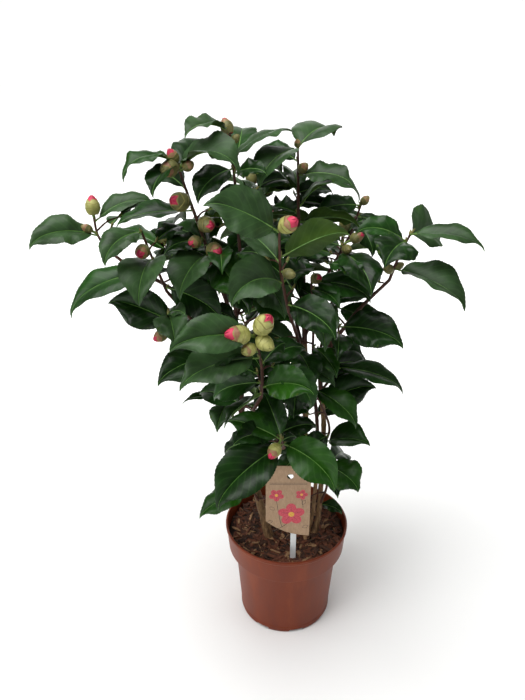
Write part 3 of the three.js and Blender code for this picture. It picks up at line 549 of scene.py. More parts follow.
# Each shoot leaves the tip of a bough or stem, or the side of one at a height. A leaf's row holds its
# place on the shoot, bearing, rise, length and droop, and then its lean and breadth where they are
# its own. A flower bud's row holds its place, bearing, rise, diameter and stalk.
MASSES = {
    "top_left_shoot": {"from": "top_left_bough", "path": [[-55, -14, 545], [-60, -15, 606]],
        "leaves": [[0.98, 218, 26, 50, 62, 10, 1.05], [0.79, 26, 28, 64, 26, -10, 0.95],
            [0.7, 222, -6, 50, 54, 30, 1.2], [0.66, 326, 26, 36, 44, 40, 1.1], [0.72, 120, 30, 52, 40],
            [0.3, 120, 8, 58, 45]],
        "buds": [[0.95, 130, 56, 11, 1], [0.88, 350, 50, 7, 2]]},
    "left_crown_shoot": {"from": "left_bough", "path": [[-87, -21, 503], [-97, -28, 540], [-108, -30, 578]],
        "leaves": [[1, 214, 28, 60, 96, 10, 0.8], [0.97, 236, 2, 44, 70, -10], [0.95, 70, 30, 54, 30, 0, 1.2],
            [0.95, 334, 42, 70, 106, 20], [0.78, 130, 22, 54, 45], [0.6, 194, 4, 70, 24, 10, 1],
            [0.3, 140, 16, 50, 40], [0.3, 214, 16, 44, 50, 30], [0.5, 74, -10, 54, 50],
            [0.14, 248, 6, 66, 70, 50, 1.25], [0.24, 96, 16, 60, 50], [0.06, 300, 4, 64, 60, 60, 1.1]],
        "buds": [[1, 215, 60, 10, 1], [0.98, 240, -4, 14, 4], [0.93, 320, 30, 9, 8],
            [0.66, 238, 20, 16, 8], [0.5, 304, 6, 14, 9], [0.26, 300, 0, 14, 11],
            [0.34, 240, 0, 11, 8]]},
    "far_left_shoot": {"from": "far_left_bough", "path": [[-190, -15, 502], [-193, -15, 522]],
        "leaves": [[0.55, 208, 22, 66, 54, 90, 1.1], [0.9, 20, 36, 62, 62, 30, 1]],
        "buds": [[1, 100, 80, 13, 3], [0.6, 200, 34, 8, 6]]},
    "left_front_shoot": {"from": "left_front_bough", "path": [[-134, -42, 488], [-140, -60, 523]],
        "leaves": [[0.98, 232, 8, 52, 66, 60, 1.1], [0.5, 264, 14, 66, 84, 10, 1.35],
            [0.3, 201, 4, 94, 58, 30, 0.75], [0.06, 346, -10, 62, 36, 60, 1.1]],
        "buds": [[0.75, 262, 0, 12, 9]]},
    "left_low_shoot": {"from": "left_low_bough", "path": [[-122, -54, 438]],
        "leaves": [[0.5, 172, 26, 66, 20, 70, 1.2], [0.96, 284, 14, 44, 80, 20, 1.55], [0.5, 110, 4, 52, 45],
            [0.98, 312, 34, 32, 40]],
        "buds": [[0.4, 222, -12, 11, 14]]},
    "front_shoot": {"from": "front_bough", "path": [[-30, -106, 402], [-36, -114, 445]],
        "leaves": [[0.96, 200, 16, 76, 32, 50], [0.7, 206, 10, 78, 38, 30, 1], [0.78, 184, 0, 66, 40, 10],
            [0.2, 332, 30, 54, 46, 60, 1.15], [0.6, 50, 30, 36, 36], [0.3, 166, -10, 54, 40, 40, 1.2],
            [0.06, 236, 6, 54, 30, -60], [0.12, 100, -20, 58, 30]],
        "buds": [[1, 320, 52, 16, 6], [0.98, 206, 14, 16, 8], [0.96, 318, -12, 13, 3],
            [0.86, 228, 0, 11, 5]]},
    "centre_shoot": {"from": "centre_bough", "path": [[-13, -76, 490], [-15, -85, 532]],
        "leaves": [[0.97, 198, 36, 68, 22, 60, 1.15], [0.6, 136, 34, 56, 36, 20], [0.66, 14, 28, 64, 26, -80],
            [0.36, 222, 30, 66, 84, 50, 1.2], [0.36, 60, 10, 52, 40], [0.1, 318, 4, 60, 44, 60, 1.1]],
        "buds": [[1, 318, 34, 14, 4], [0.5, 320, 0, 9, 4]]},
    "top_shoot": {"from": "middle_stem", "path": [[8, 22, 500], [5, 22, 581]],
        "leaves": [[1, 50, 32, 62, 66, 0, 1.5], [0.99, 233, 4, 66, 60, 0, 1.1], [0.84, 338, 14, 56, 44, 30],
            [0.64, 345, 58, 76, 120, 0, 1.1], [0.6, 130, 8, 48, 36], [0.92, 142, 22, 46, 26],
            [0.54, 344, 22, 62, 48, -50], [0.76, 96, 22, 54, 45], [0.4, 110, 10, 58, 40],
            [0.2, 258, 14, 54, 50]],
        "buds": [[0.86, 320, 40, 9, 2], [1, 250, 70, 6, 1]]},
    "top_right_shoot": {"from": "top_right_bough", "path": [[73, 40, 520]],
        "leaves": [[0.96, 200, 10, 50, 34, 50], [0.6, 350, -10, 40, 40], [0.4, 110, 4, 52, 40],
            [0.85, 150, 14, 48, 40]],
        "buds": [[1, 330, 50, 8, 1]]},
    "inner_right_shoot": {"from": "inner_right_bough", "path": [[52, -4, 492]],
        "leaves": [[0.66, 294, 6, 66, 60, 60, 1.15], [0.9, 160, 10, 46, 34]],
        "buds": [[1, 350, 30, 10, 8], [0.84, 290, 10, 9, 3]]},
    "middle_shoot": {"from": ["right_stem_twin", 334], "path": [[24, -8, 402], [20, -12, 456]],
        "leaves": [[0.97, 338, 12, 62, 48, 30, 1.05], [0.9, 306, 14, 44, 40, 60],
            [0.74, 276, 8, 68, 62, 40, 1.1], [0.3, 300, 0, 46, 50, 60]],
        "buds": [[1, 300, 30, 10, 4]]},
    "far_right_shoot": {"from": "right_bough", "path": [[104, -19, 480], [114, -20, 507]],
        "leaves": [[0.86, 176, 34, 50, 56, 40, 1.1], [0.97, 50, 2, 56, 22, 50, 1.5],
            [1, 338, 9, 68, 30, 20, 1.05], [0.86, 238, 12, 48, 60, 20, 1.8],
            [0.3, 330, -4, 77, 33, 20, 1.15], [0.5, 90, 0, 52, 40]],
        "buds": [[0.2, 220, 40, 9, 3], [0.3, 20, 20, 7, 2]]},
    "right_shoot": {"from": ["right_stem", 322], "path": [[46, -16, 352], [50, -18, 410]],
        "leaves": [[0.97, 332, 12, 68, 36, 80, 1.1], [0.56, 346, 3, 76, 40, 10, 0.8], [0.3, 40, 10, 44, 34],
            [0.9, 266, 20, 50, 56, 60, 1.1], [0.6, 30, -6, 50, 40]]},
    "low_right_shoot": {"from": ["right_stem", 250], "path": [[45, -18, 284], [24, -30, 342]],
        "leaves": [[0.8, 8, 28, 60, 30, 60, 1.15], [0.97, 322, -6, 60, 50, 20, 1.1],
            [0.14, 338, 26, 50, 34, 20, 1.5], [0.3, 230, 10, 48, 44]]},
    "low_front_shoot": {"from": "low_front_bough", "path": [[-11, -102, 324]],
        "leaves": [[0.5, 326, -3, 68, 50, 60, 1.2], [0.9, 164, 24, 56, 30, 30, 1.05],
            [0.4, 218, -8, 88, 44, 40, 1.05], [0.9, 112, 40, 54, 24], [0.8, 44, 0, 20, 30]],
        "buds": [[0.95, 240, -20, 12, 8]]},
    "foot_shoot": {"from": ["right_stem", 164], "path": [[46, -20, 204], [42, -20, 250]],
        "leaves": [[0.8, 322, 2, 46, 50, 40, 1.6], [0.7, 288, -4, 34, 30, 60, 1.1], [0.02, 344, 8, 28, 50]]},
    "foot_left_shoot": {"from": ["left_stem", 172], "path": [[-44, -34, 212]],
        "leaves": [[0.9, 204, -4, 64, 26, 10, 1], [0.96, 150, 20, 40, 40]]},
    "under_left_shoot": {"from": ["left_stem", 250], "path": [[-66, -30, 322], [-68, -50, 392]],
        "leaves": [[1, 208, 4, 72, 40, 40, 1.1], [0.56, 192, 12, 46, 26, 0, 0.7],
            [0.5, 256, 12, 46, 48, 30, 1.1]]},
    "inner_shoot": {"from": ["middle_stem", 290], "path": [[10, -14, 350], [4, -24, 388]],
        "leaves": [[0.5, 262, 2, 60, 52, 40, 1.2], [0.9, 290, 8, 56, 54, 40], [0.8, 210, 10, 62, 44, 40],
            [0.95, 140, 20, 56, 40], [0.6, 330, 4, 44, 46, 40], [0.3, 180, 0, 56, 44]]},
    "heart_left_shoot": {"from": ["left_stem", 404], "path": [[-40, 20, 450], [-36, 28, 506]],
        "leaves": [[0.64, 190, 0, 64, 40, 60, 1.1], [0.5, 304, -2, 66, 50, 60, 1.1],
            [0.3, 330, 0, 60, 46, 60, 1.1], [0.9, 120, 24, 54, 44], [0.95, 280, 10, 56, 56, 60]]},
    "heart_right_shoot": {"from": ["right_stem", 352], "path": [[50, 26, 392], [52, 34, 430]],
        "leaves": [[0.7, 322, 0, 62, 44, 60, 1.1], [0.8, 40, 14, 58, 44], [0.9, 110, 14, 56, 44]]},
    "back_left_shoot": {"from": "back_left_bough", "path": [[-138, 68, 466]],
        "fill": 7, "buds": [[1, 120, 50, 12, 3]]},
    "back_high_shoot": {"from": "back_high_bough", "path": [[-40, 84, 528]],
        "fill": 9, "buds": [[1, 100, 60, 13, 3]]},
    "back_middle_shoot": {"from": "back_middle_bough", "path": [[-20, 132, 466]],
        "fill": 9, "buds": [[1, 90, 50, 14, 3]]},
    "back_right_shoot": {"from": "back_right_bough", "path": [[62, 98, 470]],
        "fill": 9, "buds": [[1, 60, 60, 12, 3]]},
    "back_low_shoot": {"from": "back_low_bough", "path": [[-58, 112, 366]],
        "fill": 8, "buds": [[1, 110, 40, 12, 3]]},
}


def heading(bearing, rise):
    """The direction of a bearing and a rise in degrees; either may be an array."""
    bearing, rise = np.radians(bearing), np.radians(rise)
    flat = np.cos(rise)
    return np.stack([flat * np.cos(bearing), flat * np.sin(bearing), np.sin(rise + 0 * bearing)], -1)


def bud_axes(bearing, rise):
    """The directions along, beside and across a bud."""
    along, side = heading(bearing, rise), heading(bearing + 90, 0)
    return along, side, np.cross(along, side)


def leaf_bend(base, leaf, face_from):
    """How a leaf's midrib runs: a function of t that gives its point, left and up directions."""
    bearing, rise, length, droop, lean, sway = leaf[:6]
    outside = math.degrees(math.atan2(base[1] - face_from[1], base[0] - face_from[0]))
    bank = math.radians(lean * math.sin(math.radians(bearing - outside)))

    def along(t):
        bent = rise - droop * t ** LEAF["droop_power"] - LEAF["hook"] * t ** LEAF["hook_power"]
        return heading(bearing + sway * t, bent)

    fine = LEAF["steps"]
    steps = along((np.arange(fine) + 0.5) / fine) * length / fine
    foot = base + heading(bearing, rise) * LEAF["petiole"] * length
    spine = foot + np.concatenate([[[0, 0, 0]], np.cumsum(steps, axis=0)])

    def frame_at(t):
        t = np.asarray(t, float)
        turn = np.radians(bearing + sway * t)
        flat_left = np.stack([-np.sin(turn), np.cos(turn), 0 * turn], -1)
        flat_up = np.cross(along(t), flat_left)
        point = np.stack([np.interp(t, np.linspace(0, 1, fine + 1), spine[:, axis]) for axis in range(3)], -1)
        left = flat_left * math.cos(bank) + flat_up * math.sin(bank)
        return point, left, flat_up * math.cos(bank) - flat_left * math.sin(bank)
    return frame_at


def blade_shape(t):
    """Half the blade's width as a share of the widest, from its foot at 0 to its long point at 1."""
    start, end = LEAF["point"]["from"], LEAF["point"]["to"]
    near = np.clip((np.asarray(t, float) - start) / (end - start), 0, 1)
    narrowing = 1 - LEAF["point"]["narrow"] * near ** 2 * (3 - 2 * near)
    return np.sin(math.pi * np.minimum(t, 1) ** LEAF["full"][0]) ** LEAF["full"][1] * narrowing


def plain_leaf(base, leaf, face_from, extra):
    """A leaf as the plain thick skin that the rule of growth tests."""
    length, fold, broad = leaf[2], leaf[6], leaf[7]
    frame_at = leaf_bend(base, leaf, face_from)
    thick = LEAF["plain"]["half_thickness"] + extra
    rings = []
    for t in LEAF["plain"]["places"]:
        point, left, up = frame_at(t)
        half, angle = broad * length * blade_shape(t) / 2 + extra, math.radians(fold)
        if t == 0:
            point, half, angle = base, LEAF["plain"]["petiole"] + extra, 0
        out, lift = left * half * math.cos(angle), up * half * math.sin(angle)
        rings.append([point + out + lift, point + up * thick, point - out + lift, point - up * thick])
    return skin(rings)


def plain_bud(base, bud, extra):
    """A flower bud as the plain skin that the rule of growth tests."""
    bearing, rise, diameter, stalk = bud
    along, side, across = bud_axes(bearing, rise)
    rings = [round_ring(base, BUD["stalk"][0] + extra, side, across, BUD["sides"])]
    for t, share in BUD["profile"]:
        middle = base + along * (stalk + t * diameter * BUD["slender"])
        rings.append(round_ring(middle, share * diameter / 2 + extra, side, across, BUD["sides"]))
    return skin(rings)


def fine_leaf(heap, base, leaf, face_from, slots, look):
    """The leaf that shows: toothed, waved, thin at its edge, with a midrib and a petiole."""
    phase, wave_height, roll = look(), lerp(*BLADE["wave"], look()), lerp(*BLADE["roll"], look())
    bearing, rise, length, fold, broad = leaf[0], leaf[1], leaf[2], leaf[6], leaf[7]
    top_slot, under_slot, midrib_slot, petiole_slot = slots
    frame_at = leaf_bend(base, leaf, face_from)
    teeth = max(6, round(length / BLADE["tooth_pitch"]))
    hollows, tips = np.arange(teeth + 1) / teeth, (np.arange(teeth) + BLADE["tooth_at"]) / teeth
    t = np.sort(np.concatenate([hollows, tips]))
    point, left, up = (a[:, None, :] for a in frame_at(t))
    full = broad * length / 2
    foot_fade, tip_fade = BLADE["toothless"]
    fade = np.clip(foot_fade * t, 0, 1) * np.clip(tip_fade * (1 - t), 0, 1)
    tooth = np.where(np.arange(len(t)) % 2 == 1, BLADE["tooth"], 0) * fade
    half = np.maximum(full * blade_shape(t), BLADE["narrowest"]) + tooth
    midrib = np.minimum(lerp(*BLADE["midrib"], t), BLADE["midrib_share"] * half) / half

    # Nine columns of points across the blade: s is 1 at its left edge and -1 at its right.
    outer, inner = (np.full_like(t, share) for share in BLADE["columns"])
    edge = np.ones_like(t)
    s = np.stack([edge, outer, inner, midrib, 0 * t, -midrib, -inner, -outer, -edge], axis=1)
    angle = math.radians(fold)
    fold_height = 1.5 * abs(s) - 0.5 * s ** 2  # steepest beside the midrib
    lift = half[:, None] * (math.sin(angle) * fold_height - roll * s ** 4)
    ripple = sum(height * np.sin(2 * math.pi * (count * t[:, None] + start * phase) + (s < 0) * shift)
                 for height, count, start, shift in BLADE["ripples"])
    lift = lift + wave_height * s ** 2 * ripple * np.minimum(1, half[:, None] / BLADE["calm"])
    thickness = lerp(BLADE["thickness"], BLADE["edge"], abs(s)) / 2
    groove = np.array([0, 0, 0, 0, BLADE["groove"], 0, 0, 0, 0])
    rib_side = BLADE["rib_side"]
    rib = np.array([0, 0, 0, rib_side, 1, rib_side, 0, 0, 0]) * lerp(*BLADE["rib"], t)[:, None]
    across = left * (s * half[:, None] * math.cos(angle))[..., None]
    top = point + across + up * (lift + thickness - groove)[..., None]
    bottom = (point + across + up * (lift - thickness - rib)[..., None])[:, ::-1]
    rings = np.concatenate([top, bottom], axis=1)
    points, faces = skin(rings)

    # The strips beside the midrib, above and below, take its colour, and the edges the upper one.
    count = rings.shape[1]
    kind = np.where(np.arange(count) < 8, top_slot, under_slot)
    kind[[3, 4, 12, 13]] = midrib_slot
    kind[[8, 17]] = top_slot
    face_slots = np.tile(kind, len(t) - 1).tolist() + [midrib_slot, top_slot]
    u = np.concatenate([s, s[:, ::-1]], axis=1)
    v = np.repeat(t[:, None], count, axis=1)
    heap.add(points, faces, face_slots, np.stack([v * length / CM, u * full / CM], -1).reshape(-1, 2))

    inside = frame_at(np.array([0, STALK_TUBE["into"] / 2, STALK_TUBE["into"]]))
    axis_points = [base, base + heading(bearing, rise) * LEAF["petiole"] * length * 0.5]
    centres = np.concatenate([axis_points, inside[0] - inside[2] * STALK_TUBE["under"]])
    lefts, ups = (np.concatenate([[way[0]] * len(axis_points), way]) for way in inside[1:])
    tube = [round_ring(centre, radius, side, high, STALK_TUBE["sides"])
            for centre, radius, side, high in zip(centres, STALK_TUBE["radii"], lefts, ups)]
    heap.add(*skin(tube), petiole_slot)


def egg_radius(u):
    """The radius of a bud as a share of its widest, from its foot at 0 to its tip at 1."""
    return np.sin(math.pi * lerp(EGG["foot"], 1, u) ** EGG["low"]) ** EGG["full"]


def fine_bud(heap, base, bud, slots, look):
    """A flower bud: overlapping scales round an egg of furled petals."""
    bearing, rise, diameter, stalk = bud
    scale_slot, flush_slot, petal_slot, stalk_slot, edge_slot = slots
    along, side, across = bud_axes(bearing, rise)
    length = diameter * BUD["slender"]
    foot = base + along * stalk

    def on_egg(u, angle, out):
        spread = np.cos(angle)[..., None] * side + np.sin(angle)[..., None] * across
        radius = egg_radius(u) * diameter / 2 + out
        return foot + along * (u * length)[..., None] + spread * radius[..., None], spread

    u = np.linspace(PETALS["from"], PETALS["to"], PETALS["rows"])
    core, _ = on_egg(*np.meshgrid(u, ring_angles(PETALS["sides"]), indexing="ij"), -PETALS["under"])
    ripe = diameter > BUD["ripe"]
    opening = lerp(*BUD["opening"], look()) if ripe else 1
    inner_slot = flush_slot if look() < BUD["flushed"] else scale_slot
    heap.add(*skin(core), petal_slot if ripe else scale_slot)
    twist = look()

    # Each whorl: how many scales, how high they reach, how wide, how far out, and their slot.
    whorls = [(5, 0.985, 100, 0.2, petal_slot if ripe else inner_slot),
              (4, 0.9 * opening, 122, 0.5, inner_slot),
              (4, 0.68 * opening, 126, 0.85, scale_slot), (3, 0.38, 140, 1.2, scale_slot)]
    v = np.linspace(-1, 1, SCALES["across"])[None]
    w = np.array(SCALES["rows"])[:, None]
    narrow, rounding = SCALES["round"]
    band = 2 * v.size
    for level, (count, high, width, out, slot) in enumerate(whorls):
        rim = edge_slot if slot != petal_slot else slot
        for k in range(count):
            turn = 2 * math.pi * (k / count + SCALES["stagger"] * level + twist)
            grid_u = w * high * (1 - narrow * abs(v) ** rounding)
            angle = turn + v * math.radians(width / 2) + 0 * w
            swell = (out + SCALES["swell"] * w ** 2) * (1 - SCALES["hug"] * v ** 2)
            swell = swell * diameter / SCALES["drawn_at"]
            grid, outward = on_egg(grid_u, angle, swell)
            back = grid - outward * SCALES["thickness"]
            points, faces = skin(np.concatenate([grid[:, ::-1], back], axis=1))
            heap.add(points, faces, [slot] * band * (w.size - 2) + [rim] * band + [slot, rim])
    low, high, top = BUD["stalk"]
    stalk_rings = ((0, low), (stalk * BUD["stalk_into"], high), (stalk + BUD["stalk_into"], diameter * top))
    heap.add(*skin([round_ring(base + along * distance, radius, side, across, PETALS["sides"])
                    for distance, radius in stalk_rings]), stalk_slot)


def leaf_bud(heap, base, bearing, rise, length, slot):
    """A small pointed leaf bud in the angle of a leaf."""
    along, side, across = bud_axes(bearing, min(LEAF_BUD["steepest"], rise))
    rings = [round_ring(base + along * distance * length, radius * length, side, across, LEAF_BUD["sides"])
             for distance, radius in LEAF_BUD["profile"]]
    heap.add(*skin(rings), slot)


# Camellia leaf: thick, with a waxy skin that mirrors the sky softly above and is matt below.
# Slightly paler veins about 9 mm apart leave the midrib aslant, and the green drifts a little
# within a leaf, every 22 mm. On a blade measured in centimetres, waves lie pi / scale millimetres apart.
VEIN_PITCH = 8.7


def leaf_material(name, deep, light, roughness):
    material, tree, output = new_material(name)
    place = add_node(tree, "ShaderNodeTexCoord", {})
    drift = add_node(tree, "ShaderNodeTexNoise", {"Scale": per_metre(22), "Detail": 3, "Roughness": 0.55},
                     {"Vector": place.outputs["Object"]})
    colour = add_node(tree, "ShaderNodeValToRGB", {"stops": [(0.34, linear(deep)), (0.68, linear(light))]},
                      {"Fac": drift.outputs["Fac"]})
    blade = add_node(tree, "ShaderNodeSeparateXYZ", {}, {0: place.outputs["UV"]})
    aside = add_node(tree, "ShaderNodeMath", {"operation": "ABSOLUTE"}, {0: blade.outputs[1]})
    aslant = add_node(tree, "ShaderNodeMath", {"operation": "SUBTRACT"},
                      {0: blade.outputs[0], 1: aside.outputs[0]})
    waves = add_node(tree, "ShaderNodeCombineXYZ", {}, {0: aslant.outputs[0], 1: blade.outputs[1]})
    veins = add_node(tree, "ShaderNodeTexWave", {"Scale": round(math.pi / VEIN_PITCH, 2), "Distortion": 1.2,
                                                 "Detail": 1.5, "Detail Scale": 1.2},
                     {"Vector": waves.outputs[0]})
    lines = add_node(tree, "ShaderNodeMapRange", {"From Min": 0.8, "From Max": 1, "To Max": 0.05},
                     {"Value": veins.outputs["Fac"]})
    veined = add_node(tree, "ShaderNodeMix", {"data_type": "RGBA", 7: linear("#6c9a52")},
                      {0: lines.outputs[0], 6: colour.outputs[0]})
    bump = add_node(tree, "ShaderNodeBump", {"Strength": 0.07, "Distance": 0.6 * MM},
                    {"Height": veins.outputs["Fac"]})
    shader = add_node(tree, "ShaderNodeBsdfPrincipled",
                      {"IOR": 1.42, "Roughness": roughness, "Specular IOR Level": 0.3},
                      {"Base Color": veined.outputs[2], "Normal": bump.outputs[0]})
    tree.links.new(shader.outputs[0], output.inputs[0])
    return material


# Petiole, midrib, bud scales and petals: smooth plant skin, matt to satin, one even colour
# that drifts a little, with about 8 mm from one drift to the next.
def plant_skin(name, deep, light, roughness):
    return mottled_material(name, [(0.3, deep), (0.7, light)], {"Scale": per_metre(8.3), "Detail": 3},
                            {"IOR": 1.42, "Roughness": roughness})


leaf_tones = [
    leaf_material("leaf_upper_deep_green", "#081c03", "#15340b", 0.32),
    leaf_material("leaf_upper_green", "#0f2a06", "#1e4412", 0.34),
    leaf_material("leaf_upper_fresh_green", "#123503", "#224c0a", 0.36),
    # The grey-green tone is a painted sheen: the grey reflection of the sky on outer and upper leaves, put
    # into their colour.
    leaf_material("leaf_upper_grey_green_painted_sheen", "#213719", "#36522d", 0.4),
]
UNDER, MIDRIB, PETIOLE = len(leaf_tones), len(leaf_tones) + 1, len(leaf_tones) + 2
leaf_materials = leaf_tones + [
    leaf_material("leaf_underside_olive", "#263f0a", "#3c5616", 0.55),
    plant_skin("leaf_midrib_yellow_green", "#4a7530", "#759a54", 0.45),
    plant_skin("petiole_green", "#4a6a24", "#6d8a3c", 0.5),
]
bud_materials = [
    plant_skin("bud_scale_pale_green", "#82843f", "#b6b36f", 0.5),
    plant_skin("bud_scale_olive", "#4e4f2a", "#7b7846", 0.5),
    plant_skin("bud_scale_flushed", "#7a4a3c", "#a98a62", 0.5),
    plant_skin("petal_tip_rose", "#a81f3f", "#d03c5c", 0.55),
    plant_skin("bud_stalk_green", "#55702c", "#7a8f49", 0.5),
    plant_skin("bud_scale_brown_edge", "#756b40", "#96904f", 0.6),
]
PALE, OLIVE, FLUSHED, PETAL, STALK, BROWN_EDGE = range(len(bud_materials))
# Buds whose petals don't show yet, and shoots whose ripe buds are pale.
SHUT_BUDS = {"left_crown_shoot": (1,), "front_shoot": (2, 3), "centre_shoot": (1,)}
PALE_BUDS = ("front_shoot", "far_left_shoot", "centre_shoot", "low_front_shoot", "top_right_shoot")
TWIG_GREEN = 1
twig_materials = [young_bark, plant_skin("green_twig", "#5a5a2a", "#7f7a42", 0.55)]

taken = []


def add_taken(owner, skin_parts):
    points, faces = skin_parts
    points = np.asarray(points)
    tree = BVHTree.FromPolygons(points.tolist(), faces)
    taken.append((owner, tree, points.min(axis=0), points.max(axis=0)))


def touches(skin_parts, owners):
    """Whether a skin meets anything that is there already, apart from what its owners hold."""
    points, faces = np.asarray(skin_parts[0]), skin_parts[1]
    low, high = points.min(axis=0), points.max(axis=0)
    near = [other for other in taken
            if other[0] not in owners and (low <= other[3]).all() and (other[2] <= high).all()]
    tree = BVHTree.FromPolygons(points.tolist(), faces) if near else None
    return any(tree.overlap(other[1]) for other in near)


for name, limb in limbs.items():
    add_taken(name, limb["parts"])

LEFT_LEAVES = ("top_left_shoot", "left_crown_shoot", "far_left_shoot", "left_front_shoot", "left_low_shoot",
               "front_shoot", "foot_left_shoot", "under_left_shoot", "heart_left_shoot", "low_front_shoot")
leaf_heaps = {"left": Heap(), "right": Heap(), "back": Heap()}
heap_of = {name: "left" if name in LEFT_LEAVES else "back" if name.startswith("back_") else "right"
           for name in MASSES}
twigs, flower_buds = Heap(), Heap()
shoots = {}

# Most leaves take a tone by chance, and few of the high ones are fresh green: more of them take the
# grey-green tone, a painted sheen of the sky on the upper crown. These are listed one by one: fresh
# young leaves low on the plant, deep green ones, and grey-green ones outside, with painted sheen.
DEEP, GREEN, FRESH, PAINTED_SHEEN = range(len(leaf_tones))
PICKED = {
    FRESH: {"low_front_shoot": (0, 1), "front_shoot": (3,), "foot_left_shoot": (0,), "low_right_shoot": (2,),
            "inner_shoot": (2,)},
    DEEP: {"low_front_shoot": (2,), "left_low_shoot": (0,), "left_crown_shoot": (1, 2), "right_shoot": (0, 2),
           "far_right_shoot": (4,), "left_front_shoot": (3,)},
    PAINTED_SHEEN: {"far_left_shoot": (0,), "far_right_shoot": (1, 2, 4), "top_shoot": (0, 1),
           "left_crown_shoot": (3,), "front_shoot": (0, 1),
           "middle_shoot": (2,), "top_left_shoot": (0, 1), "centre_shoot": (0, 1)},
}
# The grey limits set how often a leaf takes the grey-green painted sheen; high shoots take it more often.
TONES = {"deep": 0.32, "green": 0.6, "grey": {"low": 0.62, "high": 0.86}, "low_below": 360}


def leaf_tone(name, number, height, shade):
    """The tone of a shoot's leaf: listed one by one, or by chance and by how high the shoot is."""
    # Leaves on high shoots get the grey-green painted sheen more often than leaves on low ones.
    grey = TONES["grey"]["low" if height < TONES["low_below"] else "high"]
    limits = {DEEP: TONES["deep"], GREEN: TONES["green"], PAINTED_SHEEN: grey}
    tone = next((tone for tone, limit in limits.items() if shade < limit), FRESH)
    for picked_tone, chosen in PICKED.items():
        tone = picked_tone if number in chosen.get(name, ()) else tone
    return tone


for index, (name, mass) in enumerate(MASSES.items()):
    draw, look = (seeded_draw(index + seed) for seed in SHOOT["seeds"])
    from_side = isinstance(mass["from"], list)
    parent_name = mass["from"][0] if from_side else mass["from"]
    parent = limbs[parent_name]
    if from_side:
        start = at_height(parent["points"], mass["from"][1])
    else:
        start = hermite(parent["points"], 1) + SHOOT["into_bough"] * tangents(parent["points"], 1)
    radii = [SHOOT["radii"][0] if from_side else parent["radii"][1], SHOOT["radii"][1]]
    shoot = {"points": [start, *mass["path"]], "radii": radii, "flare": False}
    leaves = list(mass.get("leaves", []))
    first = 360 * draw()
    for i in range(mass.get("fill", 0)):
        along = lerp(FILL["lowest"], 1, i / (mass["fill"] - 1))
        rise = lerp(*FILL["rise"], along) + FILL["stray"] * (draw() - 0.5)
        leaves.append([along, first + FILL["turn"] * i, rise, lerp(*FILL["length"], draw()),
                       lerp(*FILL["droop"], draw()), LEAF["lean"], 1, LEAF["face_from"]["filled"]])
    shoots[name] = shoot
    pieces = [plain_limb(shoot, sides=5, steps=4, extra=SHOOT["clear"])]
    twigs.add(*skin(bark_rings(shoot, "shoot", index)), 0)
    for number, (along, *bud) in enumerate(mass.get("buds", [])):
        base = hermite(shoot["points"], along)
        plain = plain_bud(base, bud, SHOOT["clear"])
        if touches(plain, (name, parent_name)):
            continue
        pieces.append(plain)
        scale = PALE if name in PALE_BUDS and bud[2] > BUD["ripe"] else OLIVE
        petal = scale if number in SHUT_BUDS.get(name, ()) else PETAL
        fine_bud(flower_buds, base, bud, (scale, FLUSHED, petal, STALK, BROWN_EDGE), look)
    for number, (along, bearing, rise, length, droop, *more) in enumerate(leaves):
        lean, broad, face_from = more + [LEAF["lean"], 1, LEAF["face_from"]["set"]][len(more):]
        base = hermite(shoot["points"], along)
        sway = LEAF["sway"] * (draw() - 0.5)
        fold = lerp(*LEAF["fold"], draw())
        width = broad * LEAF["width"] * lerp(*LEAF["growth"], draw())
        leaf = [bearing, rise, length, droop, lean, sway, fold, width]
        plain = plain_leaf(base, leaf, face_from, SHOOT["clear"])
        shade, bud_size = look(), look()
        if touches(plain, (name, parent_name)):
            continue
        pieces.append(plain)
        tone = leaf_tone(name, number, shoot["points"][-1][2], shade)
        fine_leaf(leaf_heaps[heap_of[name]], base, leaf, face_from, (tone, UNDER, MIDRIB, PETIOLE), look)
        leaf_bud(twigs, base, bearing + LEAF_BUD["turn"], rise + LEAF_BUD["lift"],
                 lerp(*LEAF_BUD["length"], bud_size), TWIG_GREEN)
    for piece in pieces:
        add_taken(name, piece)

# Finer twigs fill the crown's inside: each leaves the wood towards the middle of the crown and
# bears up to three smaller leaves, wherever they have room.
CROWN_MIDDLE = (-20, 25)
# The "deep" share is partly painted shade: inner leaves take the deep green tone more often, for the shade
# inside the crown.
TWIGLET = {"length": (8, 26), "rise": (-15, 35), "spread": 190, "radii": (1.0, 0.75), "arch": 0.1,
           "sprays": (0, 75, -70), "stray": 20, "leaf": (36, 56), "growth": (0.94, 1.1), "deep": 0.6,
           "bud_lift": 20, "bud_length": 6.5, "back_from": 45, "seed": 500}
# How many twiglets each kind of limb bears, and between which places along it.
BEARING = {"stem": (6, 0.5, 0.97), "bough": (3, 0.25, 0.95), "shoot": (3, 0.05, 0.75), "back": (6, 0.1, 0.95)}

